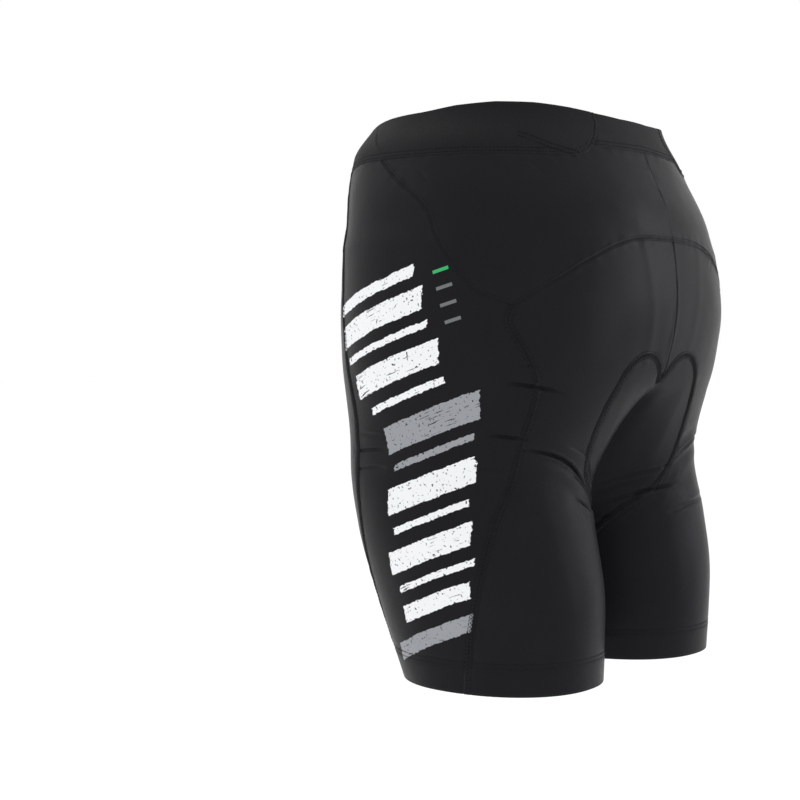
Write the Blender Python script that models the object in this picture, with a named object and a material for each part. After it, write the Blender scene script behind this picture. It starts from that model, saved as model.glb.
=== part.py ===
"""Cycling shorts in stretch cloth, in the form they take when worn, open at the waist and legs.

Metres, +Z up. The origin is the centre of the waist opening, the front faces -Y and the
wearer's left leg is at +X. One melted form, worked out from torso and leg sections, gives
the outer surface. Each pattern piece is an outline of seams drawn flat, filled with points,
laid on that form and given the thickness of its cloth.
"""
import math
from collections import namedtuple

import bmesh
import bpy
import numpy as np
from mathutils.geometry import delaunay_2d_cdt

# Driving sizes
CLOTH = 0.0016
BAND_CLOTH = 0.0024
HEM_CLOTH = 0.0024
HEM_DEPTH = 0.022
HEM_HEIGHT = -0.421
SEAM_GAP = 0.0003
SIDE_BAND_DEPTH = 0.036
BACK_BAND_DEPTH = 0.0275
PAD_LENGTH = 0.320
PAD_WIDTH = 0.190
PAD_THICK = 0.009
PAD_EDGE = 0.003
PAD_SLOPE = 0.018
PAD_START = -0.022
PAD_CLEAR = 0.0009
PAD_FOLD_SPREAD = 2.6
PAD_ARCH_CLEAR = 0.0020
PAD_ARCH_WIDTH = 0.018
PAD_ARCH_START = 0.05
PAD_ARCH_FADE = 0.06
SEAM_STEP = 0.0125
SADDLE_STEP = 0.011
LAP_STEP = 0.008
LAP_TURN_SCALE = 1000
PATTERN_RADIUS = 0.100
MIDDLE_AXIS = np.array([0.0, 0.0])
LEG_AXIS = np.array([0.078, 0.012])
FLAT_MIRROR = np.array([-1, 1])

# Waist edge: the side height, the rise at the back and the dip at the front
WAIST_SIDE = -0.003
WAIST_BACK_RISE = 0.003
WAIST_FRONT_DIP = 0.035
WAIST_DIP_ANGLE = math.radians(72)

# Level sections of the torso: half width, and depth in front of and behind the middle
Section = namedtuple("Section", "height half_width front back")
TORSO = [
    Section(0.020, 0.120, 0.106, 0.092),
    Section(0.000, 0.123, 0.108, 0.094),
    Section(-0.033, 0.148, 0.120, 0.106),
    Section(-0.084, 0.166, 0.118, 0.127),
    Section(-0.140, 0.171, 0.109, 0.133),
    Section(-0.187, 0.163, 0.102, 0.125),
    Section(-0.243, 0.140, 0.088, 0.106),
    Section(-0.300, 0.110, 0.070, 0.080),
]
TORSO_SQUARENESS = 2.2
BOWL_TOP = -0.180
BOWL_DEPTH = 0.118

# Level sections of one leg: the middle's distance from the centre, and the same depths
LegSection = namedtuple("LegSection", "height middle half_width front back")
LEG = [
    LegSection(-0.100, 0.072, 0.066, 0.078, 0.086),
    LegSection(-0.159, 0.075, 0.075, 0.093, 0.095),
    LegSection(-0.215, 0.080, 0.076, 0.094, 0.093),
    LegSection(-0.262, 0.084, 0.075, 0.092, 0.093),
    LegSection(-0.309, 0.085, 0.073, 0.085, 0.102),
    LegSection(-0.365, 0.083, 0.069, 0.067, 0.110),
    LegSection(-0.430, 0.081, 0.063, 0.042, 0.107),
]
LEG_SQUARENESS = 2.15
MELT_LEGS = 0.024
MELT_HIP = 0.050

# Seams, as turns in degrees about the leg axis (0 front, 90 outer side, 180 back) and heights
SeamPoint = namedtuple("SeamPoint", "turn height")
YOKE_CORNER = SeamPoint(137, -0.147)
DIAGONAL = [
    SeamPoint(73, -0.052),
    SeamPoint(97, -0.077),
    SeamPoint(105, -0.100),
    SeamPoint(113, -0.118),
    SeamPoint(122, -0.136),
]
YOKE = [
    SeamPoint(148, -0.135),
    SeamPoint(159, -0.124),
    SeamPoint(168, -0.115),
    SeamPoint(184, -0.102),
    SeamPoint(197, -0.096),
]
YOKE_CENTRE_HEIGHT = -0.0945
SIDE_BACK = [
    SeamPoint(135, -0.158),
    SeamPoint(141, -0.175),
    SeamPoint(147, -0.193),
    SeamPoint(149, -0.208),
    SeamPoint(147, -0.225),
    SeamPoint(143, -0.248),
    SeamPoint(139, -0.270),
    SeamPoint(132, -0.292),
    SeamPoint(127, -0.315),
    SeamPoint(122, -0.348),
    SeamPoint(118, -0.382),
    SeamPoint(115.5, HEM_HEIGHT),
]
FRONT_SIDE = [
    SeamPoint(36, -0.090),
    SeamPoint(41, -0.140),
    SeamPoint(45, -0.190),
    SeamPoint(46, -0.235),
    SeamPoint(45, -0.280),
    SeamPoint(41, -0.330),
    SeamPoint(37, -0.380),
    SeamPoint(35, HEM_HEIGHT),
]
INSEAM = [
    SeamPoint(262, -0.365),
    SeamPoint(252, HEM_HEIGHT),
]

# Waistband, as turns in degrees about the middle of the waist and depths below its edge
BandPoint = namedtuple("BandPoint", "turn depth")
FRONT_SIDE_TURN = 57
DIAGONAL_TURN = 79
LAP_UPPER = [
    BandPoint(151.5, 0),
    BandPoint(152, 0.010),
    BandPoint(150.4, 0.019),
    BandPoint(147.6, BACK_BAND_DEPTH),
]
LAP_LOWER = [
    BandPoint(147.6, BACK_BAND_DEPTH),
    BandPoint(144.3, 0.0325),
    BandPoint(140, SIDE_BAND_DEPTH),
]

# Saddle gusset, flat: distance along the crotch from the back notch, and half width there
EdgePoint = namedtuple("EdgePoint", "along half_width")
SADDLE_BACK = [
    EdgePoint(0, 0),
    EdgePoint(-0.013, 0.008),
    EdgePoint(-0.021, 0.018),
    EdgePoint(-0.0235, 0.030),
    EdgePoint(-0.020, 0.042),
    EdgePoint(-0.011, 0.052),
    EdgePoint(0.004, 0.059),
    EdgePoint(0.022, 0.064),
    EdgePoint(0.040, 0.067),
    EdgePoint(0.056, 0.067),
    EdgePoint(0.070, 0.063),
    EdgePoint(0.083, 0.055),
    EdgePoint(0.096, 0.044),
    EdgePoint(0.110, 0.034),
    EdgePoint(0.126, 0.028),
    EdgePoint(0.145, 0.026),
    EdgePoint(0.163, 0.026),
]
SADDLE_FRONT = [
    EdgePoint(0.163, 0.026),
    EdgePoint(0.190, 0.028),
    EdgePoint(0.220, 0.031),
    EdgePoint(0.248, 0.031),
    EdgePoint(0.268, 0.026),
    EdgePoint(0.281, 0.015),
    EdgePoint(0.286, 0),
]

# Seat pad, flat, as shares of its length and of half its width
PadPoint = namedtuple("PadPoint", "along half_width")
PAD_EDGE_LINE = [
    PadPoint(0.025, 0),
    PadPoint(0.010, 0.22),
    PadPoint(0.000, 0.43),
    PadPoint(0.026, 0.61),
    PadPoint(0.075, 0.82),
    PadPoint(0.130, 0.94),
    PadPoint(0.200, 1.00),
    PadPoint(0.270, 0.98),
    PadPoint(0.330, 0.90),
    PadPoint(0.400, 0.75),
    PadPoint(0.465, 0.63),
    PadPoint(0.540, 0.585),
    PadPoint(0.620, 0.62),
    PadPoint(0.710, 0.69),
    PadPoint(0.800, 0.66),
    PadPoint(0.880, 0.585),
    PadPoint(0.945, 0.47),
    PadPoint(0.985, 0.26),
    PadPoint(1.000, 0),
]

# Largest folds, drawn between two turns and heights on a leg: negative depths are ridges
Fold = namedtuple("Fold", "turn_from height_from turn_to height_to depth width")
FOLDS = [
    Fold(145, -0.249, 192, -0.274, 0.0030, 0.0065),
    Fold(150, -0.257, 196, -0.284, -0.0014, 0.0060),
    Fold(131, -0.237, 146, -0.242, 0.0016, 0.0050),
    Fold(136, -0.201, 160, -0.207, 0.0014, 0.0050),
    Fold(168, -0.241, 189, -0.252, 0.0016, 0.0050),
    Fold(175, -0.284, 204, -0.294, 0.0022, 0.0060),
    Fold(44, -0.252, 72, -0.249, 0.0016, 0.0055),
    Fold(46, -0.264, 70, -0.262, 0.0014, 0.0050),
    Fold(-40, -0.252, 12, -0.232, 0.0020, 0.0070),
    Fold(-34, -0.272, 20, -0.262, 0.0014, 0.0060),
]
FOLD_STEPS = 9

# Cloths, and how each piece is cut: the middle of its flat pattern and the step of its points
Cloth = namedtuple("Cloth", "colour sheen")
BLACK_KNIT = Cloth((0.016, 0.016, 0.019), 0.25)
PRINTED_KNIT = Cloth((0.030, 0.030, 0.033), 0.25)
BAND_KNIT = Cloth((0.013, 0.013, 0.016), 0.3)
FOAM = Cloth((0.050, 0.052, 0.054), 0.1)
CLOTH_ROUGHNESS = 0.62
Cut = namedtuple("Cut", "middle_turn step cloth")
BAND_FRONT_CUT = Cut(0, 0.014, BAND_KNIT)
BAND_BACK_CUT = Cut(180, 0.014, BAND_KNIT)
YOKE_CUT = Cut(150, 0.0160, BLACK_KNIT)
SIDE_CUT = Cut(85, 0.0165, PRINTED_KNIT)
FRONT_CUT = Cut(-20, 0.0150, BLACK_KNIT)
BACK_CUT = Cut(185, 0.0110, BLACK_KNIT)
SADDLE_CUT = Cut(0, 0.0095, BLACK_KNIT)
PAD_CUT = Cut(0, 0.0115, FOAM)


def monotone(rows, field, heights):
    """Smooth values of one column between the rows, with no overshoot."""
    ordered = sorted(rows, key=lambda row: row[0])
    x = np.array([row[0] for row in ordered])
    y = np.array([getattr(row, field) for row in ordered])
    step = np.diff(x)
    slope = np.diff(y) / step
    total = slope[:-1] + slope[1:]
    safe = np.where(np.abs(total) < 1e-12, 1.0, total)
    inner = np.where(slope[:-1] * slope[1:] > 0, 2 * slope[:-1] * slope[1:] / safe, 0)
    tangent = np.concatenate([slope[:1], inner, slope[-1:]])
    at = np.clip(heights, x[0], x[-1])
    i = np.clip(np.searchsorted(x, at) - 1, 0, len(x) - 2)
    s = (at - x[i]) / step[i]
    start = (1 + 2 * s) * (1 - s) ** 2 * y[i] + s * (1 - s) ** 2 * step[i] * tangent[i]
    end = s * s * (3 - 2 * s) * y[i + 1] + s * s * (s - 1) * step[i] * tangent[i + 1]
    return start + end


def smooth_line(points, per_span=24):
    """A dense smooth line through points given as rows of an array."""
    p = np.asarray(points, float)
    chord = np.sqrt(np.linalg.norm(np.diff(p, axis=0), axis=1))
    knot = np.concatenate([[0], np.cumsum(chord)])
    ends = np.vstack([2 * p[0] - p[1], p, 2 * p[-1] - p[-2]])
    knots = np.concatenate([[-chord[0]], knot, [knot[-1] + chord[-1]]])
    slope = (ends[2:] - ends[:-2]) / (knots[2:] - knots[:-2])[:, None]
    rows = []
    for i, span in enumerate(chord):
        s = np.linspace(0, 1, per_span, endpoint=False)[:, None]
        start = (1 + 2 * s) * (1 - s) ** 2 * p[i] + s * (1 - s) ** 2 * span * slope[i]
        end = s * s * (3 - 2 * s) * p[i + 1] + s * s * (s - 1) * span * slope[i + 1]
        rows.append(start + end)
    return np.vstack(rows + [p[-1:]])


def oval(x, y, half_width, half_depth, squareness):
    share = np.abs(x / half_width) ** squareness + np.abs(y / half_depth) ** squareness
    return share ** (1 / squareness)


def torso_field(p):
    """Rough distance outside the torso, which ends in a bowl between the legs."""
    width, front, back = (monotone(TORSO, c, p[..., 2]) for c in ("half_width", "front", "back"))
    y = p[..., 1] - (back - front) / 2
    below = np.maximum(0, BOWL_TOP - p[..., 2])
    size = np.hypot(oval(p[..., 0], y, width, (back + front) / 2, TORSO_SQUARENESS), below / BOWL_DEPTH)
    reach = np.sqrt(p[..., 0] ** 2 + y ** 2 + below ** 2)
    return reach * (1 - 1 / np.maximum(size, 1e-6))


def leg_field(p, side):
    """Rough distance outside one leg, which fades into the torso at its top."""
    columns = ("middle", "half_width", "front", "back")
    middle, width, front, back = (monotone(LEG, c, p[..., 2]) for c in columns)
    x = p[..., 0] * side - middle
    y = p[..., 1] - (back - front) / 2
    size = oval(x, y, width, (back + front) / 2, LEG_SQUARENESS)
    above = np.maximum(0, p[..., 2] - LEG[0].height)
    return np.hypot(x, y) * (1 - 1 / np.maximum(size, 1e-6)) + above


def melt(a, b, width):
    near = np.maximum(width - np.abs(a - b), 0) / width
    return np.minimum(a, b) - near ** 2 * width / 4


def field(p):
    legs = melt(leg_field(p, 1), leg_field(p, -1), MELT_LEGS)
    return melt(torso_field(p), legs, MELT_HIP)


def gradient(p, step=2e-4):
    moves = np.eye(3) * step
    return np.stack([(field(p + m) - field(p - m)) / (2 * step) for m in moves], axis=-1)


def normals(p):
    g = gradient(p)
    return g / np.linalg.norm(g, axis=-1, keepdims=True)


def settle(p, rounds=4):
    """Moves points that lie near the form onto it."""
    for _ in range(rounds):
        g = gradient(p)
        p = p - (field(p) / (g ** 2).sum(-1))[..., None] * g
    return p


def cast(start, direction):
    """Where rays from inside first leave the form."""
    reach = np.arange(0, 0.24, 0.004)
    outside = field(start[:, None, :] + direction[:, None, :] * reach[:, None]) > 0
    first = np.argmax(outside, axis=1)
    near = reach[np.maximum(first - 1, 0)]
    far = reach[first]
    for _ in range(24):
        half = (near + far) / 2
        out = field(start + direction * half[:, None]) > 0
        far = np.where(out, half, far)
        near = np.where(out, near, half)
    return start + direction * far[:, None]


def around(turns, heights, axis=LEG_AXIS):
    """Points of the form at turns in radians about an upright axis."""
    turns, heights = np.broadcast_arrays(np.asarray(turns, float), np.asarray(heights, float))
    start = np.stack([np.full(turns.shape, axis[0]), np.full(turns.shape, axis[1]), heights], -1)
    direction = np.stack([np.sin(turns), -np.cos(turns), np.zeros(turns.shape)], -1)
    return cast(start, direction)


def on_centre(heights, way):
    """Points of the form on the middle plane, behind (way 1) or in front (way -1)."""
    heights = np.asarray(heights, float)
    zero = np.zeros(heights.shape)
    start = np.stack([zero, zero, heights], -1)
    return cast(start, np.stack([zero, zero + way, zero], -1))


def spaced(points, step=SEAM_STEP):
    """The same line with even steps, its ends kept."""
    run = np.concatenate([[0], np.cumsum(np.linalg.norm(np.diff(points, axis=0), axis=1))])
    count = max(2, int(round(run[-1] / step)) + 1)
    marks = np.linspace(0, run[-1], count)
    return np.stack([np.interp(marks, run, points[:, k]) for k in range(points.shape[1])], -1)


def waist_edge(turn):
    """Height of the waist edge at a turn in radians from the front."""
    turn = np.abs((np.asarray(turn) + math.pi) % (2 * math.pi) - math.pi)
    s = np.clip(turn / WAIST_DIP_ANGLE, 0, 1)
    dip = WAIST_FRONT_DIP * (1 - s * s * (3 - 2 * s))
    rise = WAIST_BACK_RISE * np.clip((turn - math.pi / 2) / (math.pi / 2), 0, 1)
    return WAIST_SIDE - dip + rise


def band_line(turns, depths):
    """Points at turns in degrees about the middle and depths below the waist edge."""
    turns = np.radians(turns)
    return around(turns, waist_edge(turns) - depths, MIDDLE_AXIS)


def band_run(first, last, depth):
    turns = np.linspace(first, last, int(abs(last - first) * 2) + 2)
    return spaced(band_line(turns, np.full(turns.shape, depth)))


def lap_line(rows):
    flat = smooth_line([(row.turn / LAP_TURN_SCALE, row.depth) for row in rows])
    return spaced(band_line(flat[:, 0] * LAP_TURN_SCALE, flat[:, 1]), LAP_STEP)


def leg_turn(point, near):
    """The turn of a point about the leg axis, in radians, on the same lap as a near one."""
    turn = math.atan2(point[0] - LEG_AXIS[0], LEG_AXIS[1] - point[1])
    return turn + 2 * math.pi * round((near - turn) / (2 * math.pi))


def leg_seam(rows, start, end=None):
    """A seam through turns and heights about the leg axis, between given end points."""
    turns = np.radians([row.turn for row in rows])
    flat = [(turn * PATTERN_RADIUS, row.height) for turn, row in zip(turns, rows)]
    flat.insert(0, (leg_turn(start, turns[0]) * PATTERN_RADIUS, start[2]))
    if end is not None:
        flat.append((leg_turn(end, turns[-1]) * PATTERN_RADIUS, end[2]))
    line = smooth_line(flat)
    points = around(line[:, 0] / PATTERN_RADIUS, line[:, 1])
    points[0] = start
    if end is not None:
        points[-1] = end
    return spaced(points)


class Cylinder:
    """Flat pattern space of a piece that wraps an upright axis."""

    def __init__(self, axis, middle_turn):
        self.axis = axis
        self.middle = math.radians(middle_turn)

    def flat(self, points):
        turn = np.arctan2(points[:, 0] - self.axis[0], self.axis[1] - points[:, 1])
        turn = (turn - self.middle + math.pi) % (2 * math.pi) - math.pi
        return np.stack([turn * PATTERN_RADIUS, points[:, 2]], -1)

    def lift(self, flat):
        return around(flat[:, 0] / PATTERN_RADIUS + self.middle, flat[:, 1], self.axis)


class Saddle:
    """Flat pattern space of the crotch: across, and along its middle from the back notch."""

    notch_height = -0.203
    pivot = np.array([0.0, 0.0, -0.200])
    step = 0.004
    steps_across = 27

    def __init__(self):
        turn = np.radians(np.linspace(103, -103, 413))
        direction = np.stack([np.zeros(turn.shape), np.sin(turn), -np.cos(turn)], -1)
        middle = cast(np.broadcast_to(self.pivot, direction.shape), direction)
        run = np.concatenate([[0], np.cumsum(np.linalg.norm(np.diff(middle, axis=0), axis=1))])
        behind = middle[:, 1] > 0
        start = np.interp(-self.notch_height, -middle[behind, 2], run[behind])
        self.along = np.arange(-0.030, 0.325, self.step)
        rows = np.stack([np.interp(self.along + start, run, middle[:, k]) for k in range(3)], -1)
        self.grid = self.march(settle(rows))

    def march(self, row):
        """Lines that leave the middle straight sideways and stay on the form."""
        rows = [row]
        way = np.broadcast_to(np.array([1.0, 0, 0]), row.shape)
        for _ in range(self.steps_across):
            last = rows[-1]
            new = settle(last + self.step * way)
            new = last + (new - last) * (self.step / np.linalg.norm(new - last, axis=1, keepdims=True))
            new = settle(new)
            way = new - last
            out = normals(new)
            way = way - (way * out).sum(1, keepdims=True) * out
            way = way / np.linalg.norm(way, axis=1, keepdims=True)
            rows.append(new)
        return np.array(rows)

    def lift(self, flat):
        side = np.where(flat[:, 0] < 0, -1, 1)
        u = np.clip(np.abs(flat[:, 0]) / self.step, 0, self.steps_across - 1e-6)
        v = np.clip((flat[:, 1] - self.along[0]) / self.step, 0, len(self.along) - 1 - 1e-6)
        i = u.astype(int)
        j = v.astype(int)
        s = (u - i)[:, None]
        t = (v - j)[:, None]
        g = self.grid
        near = g[i, j] * (1 - t) + g[i, j + 1] * t
        far = g[i + 1, j] * (1 - t) + g[i + 1, j + 1] * t
        points = settle(near * (1 - s) + far * s)
        points[:, 0] *= side
        points[np.abs(flat[:, 0]) < 1e-9, 0] = 0
        return points


def fold_lines():
    lines = []
    for fold in FOLDS:
        share = np.linspace(0, 1, FOLD_STEPS)
        turn = np.radians(fold.turn_from + (fold.turn_to - fold.turn_from) * share)
        height = fold.height_from + (fold.height_to - fold.height_from) * share
        fade = np.sin(math.pi * (0.08 + 0.84 * share))
        lines.append((around(turn, height), fade, fold))
    return lines


def fold_depth(p, lines, spread=1.0):
    """How far the folds push the cloth in at points of the form."""
    mirrored = np.stack([np.abs(p[:, 0]), p[:, 1], p[:, 2]], -1)
    total = np.zeros(len(p))
    for line, fade, fold in lines:
        start = line[:-1]
        span = line[1:] - start
        rel = mirrored[:, None, :] - start
        share = np.clip((rel * span).sum(-1) / (span ** 2).sum(-1), 0, 1)
        gap = np.linalg.norm(rel - share[..., None] * span, axis=-1)
        near = np.argmin(gap, axis=1)
        rows = np.arange(len(p))
        strength = fade[near] + (fade[near + 1] - fade[near]) * share[rows, near]
        total += fold.depth * strength * np.exp(-(gap[rows, near] / (fold.width * spread)) ** 2)
    return total


def wall_thickness(p):
    in_hem = np.clip((HEM_HEIGHT + HEM_DEPTH + 0.001 - p[:, 2]) / 0.002, 0, 1)
    return CLOTH + (HEM_CLOTH - CLOTH) * in_hem


def edge_gap(points, outline):
    """Distances of flat points from a closed outline."""
    span = np.roll(outline, -1, axis=0) - outline
    rel = points[:, None, :] - outline
    share = np.clip((rel * span).sum(-1) / (span ** 2).sum(-1), 0, 1)
    return np.linalg.norm(rel - share[..., None] * span, axis=-1).min(1)


def is_inside(points, outline):
    """Whether flat points lie inside a closed outline."""
    ahead = np.roll(outline, -1, axis=0)
    span = ahead - outline
    height = points[:, None, 1]
    crosses = (outline[:, 1] > height) != (ahead[:, 1] > height)
    rise = np.where(span[:, 1] == 0, 1e-12, span[:, 1])
    at = outline[:, 0] + (height - outline[:, 1]) / rise * span[:, 0]
    return (crosses & (points[:, None, 0] < at)).sum(1) % 2 == 1


def lattice(outline, step, rows_at=()):
    """Staggered points inside a flat outline, clear of its edge."""
    low = outline.min(0)
    high = outline.max(0)
    count = max(1, int(round((high[1] - low[1]) / (step * 0.87))))
    heights = list(np.linspace(low[1], high[1], count + 1)[1:-1])
    heights = [h for h in heights if all(abs(h - fixed) > step * 0.5 for fixed in rows_at)]
    points = []
    middle = (low[0] + high[0]) / 2
    columns = int((high[0] - low[0]) / step) + 2
    for k, height in enumerate(sorted(heights + list(rows_at))):
        shift = 0.5 if k % 2 else 0
        points += [(middle + (i + shift) * step, height) for i in range(-columns, columns)]
    points = np.array(points)
    return points[is_inside(points, outline) & (edge_gap(points, outline) > step * 0.55)]


def join_lines(*lines):
    """One closed outline from lines that share their ends."""
    rows = []
    for line in lines:
        rows.append(line[:-1])
    return np.vstack(rows)


def inset(points, out, amount):
    """Moves an outline inwards along the form."""
    before = points - np.roll(points, 1, axis=0)
    after = np.roll(points, -1, axis=0) - points
    before = before / np.linalg.norm(before, axis=1, keepdims=True)
    after = after / np.linalg.norm(after, axis=1, keepdims=True)
    first = np.cross(out, before)
    second = np.cross(out, after)
    way = first + second
    square = (way ** 2).sum(1, keepdims=True)
    return points + way * (2 * amount / np.maximum(square, 0.8))


def cut_piece(name, outline, space, cut, thickness, raise_by=None, rows_at=()):
    """One pattern piece as a closed wall on the form."""
    flat_edge = space.flat(outline) if hasattr(space, "flat") else outline
    edge = outline if outline.shape[1] == 3 else space.lift(outline)
    inner = lattice(flat_edge, cut.step, rows_at)
    flat = np.vstack([flat_edge, inner])
    count = len(edge)
    loop = [(i, (i + 1) % count) for i in range(count)]
    result = delaunay_2d_cdt([tuple(p) for p in flat], loop, [], 0, 1e-9, True)
    origin = np.array([rows[0] for rows in result[3]])
    faces = origin[np.array(result[2])]
    faces = faces[is_inside(flat[faces].mean(1), flat_edge)]
    base = np.vstack([edge, space.lift(inner)])
    out = normals(base)
    surface = base.copy()
    surface[:count] = inset(edge, out[:count], SEAM_GAP / 2)
    offset = raise_by(base, flat) if raise_by else -fold_depth(base, FOLD_LINES)
    surface = surface + out * offset[:, None]
    wall = thickness(base, flat)
    under = surface - out * wall[:, None]
    mesh = bmesh.new()
    top = [mesh.verts.new(p) for p in surface]
    low = [mesh.verts.new(p) for p in under]
    for face in faces:
        a, b, c = face
        turned = np.dot(np.cross(surface[b] - surface[a], surface[c] - surface[a]), out[a]) < 0
        a, b, c = (a, c, b) if turned else (a, b, c)
        mesh.faces.new((top[a], top[b], top[c]))
        mesh.faces.new((low[c], low[b], low[a]))
    for i in range(count):
        j = (i + 1) % count
        mesh.faces.new((top[i], low[i], low[j], top[j]))
    data = bpy.data.meshes.new(name)
    bmesh.ops.recalc_face_normals(mesh, faces=mesh.faces)
    mesh.to_mesh(data)
    mesh.free()
    piece = bpy.data.objects.new(name, data)
    SHORTS.objects.link(piece)
    data.materials.append(cloth_material(name, cut.cloth))
    data.shade_smooth()
    data.set_sharp_from_angle(angle=math.radians(40))
    return piece


def mirrored_piece(piece, name):
    """The same pattern piece for the other side."""
    data = piece.data.copy()
    data.name = name
    data.transform([[-1, 0, 0, 0], [0, 1, 0, 0], [0, 0, 1, 0], [0, 0, 0, 1]])
    data.flip_normals()
    data.materials.clear()
    data.materials.append(piece.data.materials[0].copy())
    data.materials[0].name = name + "_cloth"
    other = bpy.data.objects.new(name, data)
    SHORTS.objects.link(other)
    return other


def cloth_material(name, cloth):
    material = bpy.data.materials.new(name + "_cloth")
    material.use_nodes = True
    shader = material.node_tree.nodes["Principled BSDF"]
    shader.inputs["Base Color"].default_value = (*cloth.colour, 1)
    shader.inputs["Roughness"].default_value = CLOTH_ROUGHNESS
    shader.inputs["Metallic"].default_value = 0
    shader.inputs["Sheen Weight"].default_value = cloth.sheen
    material.diffuse_color = (*cloth.colour, 1)
    return material


def knit_wall(base, flat):
    return wall_thickness(base)


def band_wall(base, flat):
    return np.full(len(base), BAND_CLOTH)


def saddle_edge(rows):
    line = smooth_line([(row.half_width, row.along) for row in rows])
    return spaced(line, SADDLE_STEP)


def leg_hem(first, last):
    turns = np.radians(np.linspace(first, last, 60))
    return spaced(around(turns, np.full(turns.shape, HEM_HEIGHT)))


def make_seams():
    """The seam lines of the left half, each shared by the pieces on its two sides."""
    seams = {}
    corner = around([math.radians(YOKE_CORNER.turn)], [YOKE_CORNER.height])[0]
    yoke_centre = on_centre([YOKE_CENTRE_HEIGHT], 1)[0]
    band = {
        "front": band_run(0, FRONT_SIDE_TURN, SIDE_BAND_DEPTH),
        "side": band_run(FRONT_SIDE_TURN, DIAGONAL_TURN, SIDE_BAND_DEPTH),
        "yoke": band_run(DIAGONAL_TURN, LAP_LOWER[-1].turn, SIDE_BAND_DEPTH),
        "back": band_run(LAP_LOWER[0].turn, 180, BACK_BAND_DEPTH),
        "lap_upper": lap_line(LAP_UPPER),
        "lap_lower": lap_line(LAP_LOWER),
        "top_front": band_run(0, LAP_UPPER[0].turn, 0),
        "top_back": band_run(LAP_UPPER[0].turn, 180, 0),
    }
    seams["band"] = band
    seams["diagonal"] = leg_seam(DIAGONAL, band["yoke"][0], corner)
    seams["yoke"] = leg_seam(YOKE, corner, yoke_centre)
    saddle_back = SADDLE_SPACE.lift(saddle_edge(SADDLE_BACK))
    saddle_front = SADDLE_SPACE.lift(saddle_edge(SADDLE_FRONT))
    seams["saddle_back"] = saddle_back
    seams["saddle_front"] = saddle_front
    seams["side_back"] = leg_seam(SIDE_BACK, corner)
    seams["front_side"] = leg_seam(FRONT_SIDE, band["front"][-1])
    seams["inseam"] = leg_seam(INSEAM, saddle_back[-1])
    yoke_back = np.linspace(band["back"][-1][2], YOKE_CENTRE_HEIGHT, 30)
    seams["yoke_middle"] = spaced(on_centre(yoke_back, 1))
    seams["back_middle"] = spaced(on_centre(np.linspace(YOKE_CENTRE_HEIGHT, saddle_back[0][2], 40), 1))
    front = np.linspace(band["front"][0][2], saddle_front[-1][2], 60)
    seams["front_middle"] = spaced(on_centre(front, -1))
    seams["back_middle"][-1] = saddle_back[0]
    seams["front_middle"][-1] = saddle_front[-1]
    seams["front_middle"][0] = band["front"][0]
    seams["yoke_middle"][0] = band["back"][-1]
    hem_turns = (INSEAM[-1].turn - 360, FRONT_SIDE[-1].turn, SIDE_BACK[-1].turn, INSEAM[-1].turn)
    for part, first, last in zip(("front", "side", "back"), hem_turns[:-1], hem_turns[1:]):
        seams["hem_" + part] = leg_hem(first, last)
    return seams


def mirror_line(line):
    return line[::-1] * np.array([-1, 1, 1])


def both_sides(half):
    """A closed outline from its left half, which starts and ends on the middle plane."""
    return join_lines(half, mirror_line(half))


def make_bands(seams):
    band = seams["band"]
    front = np.vstack([band["top_front"][:-1], band["lap_upper"][:-1], band["lap_lower"][:-1],
                       band["yoke"][::-1][:-1], band["side"][::-1][:-1], band["front"][::-1]])
    back = np.vstack([band["top_back"][::-1][:-1], band["lap_upper"][:-1], band["back"]])
    bands = (("waistband_front", front, BAND_FRONT_CUT), ("waistband_back", back, BAND_BACK_CUT))
    for name, half, cut in bands:
        space = Cylinder(MIDDLE_AXIS, cut.middle_turn)
        outline = oriented(both_sides(half), space)
        cut_piece(name, outline, space, cut, band_wall)


def oriented(outline, space):
    """The outline, counter-clockwise in its flat pattern space."""
    flat = space.flat(outline) if hasattr(space, "flat") else outline
    ahead = np.roll(flat, -1, axis=0)
    area = (flat[:, 0] * ahead[:, 1] - ahead[:, 0] * flat[:, 1]).sum()
    return outline if area > 0 else outline[::-1]


def make_side_pieces(seams):
    """Yoke, side, front and back of the left half, then the same for the right."""
    band = seams["band"]
    hem_row = (HEM_HEIGHT + HEM_DEPTH,)
    yoke = join_lines(seams["diagonal"], seams["yoke"], seams["yoke_middle"][::-1], band["back"][::-1],
                      band["lap_lower"], band["yoke"][::-1])
    side = join_lines(seams["front_side"], seams["hem_side"], seams["side_back"][::-1],
                      seams["diagonal"][::-1], band["side"][::-1])
    front = join_lines(seams["front_middle"], seams["saddle_front"][::-1], seams["inseam"],
                       seams["hem_front"], seams["front_side"][::-1], band["front"][::-1])
    back = join_lines(seams["side_back"], seams["hem_back"], seams["inseam"][::-1],
                      seams["saddle_back"][::-1], seams["back_middle"][::-1], seams["yoke"][::-1])
    pieces = [
        ("yoke", yoke, YOKE_CUT, ()),
        ("side", side, SIDE_CUT, hem_row),
        ("front", front, FRONT_CUT, hem_row),
        ("back", back, BACK_CUT, hem_row),
    ]
    for name, outline, cut, rows_at in pieces:
        space = Cylinder(LEG_AXIS, cut.middle_turn)
        outline = oriented(outline, space)
        left = cut_piece(name + "_left", outline, space, cut, knit_wall, rows_at=rows_at)
        mirrored_piece(left, name + "_right")


def make_saddle():
    back = saddle_edge(SADDLE_BACK)
    front = saddle_edge(SADDLE_FRONT)
    left = np.vstack([back[:-1], front])
    outline = oriented(join_lines(left, left[::-1] * FLAT_MIRROR), SADDLE_SPACE)
    cut_piece("saddle_gusset", outline, SADDLE_SPACE, SADDLE_CUT, knit_wall)


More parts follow.
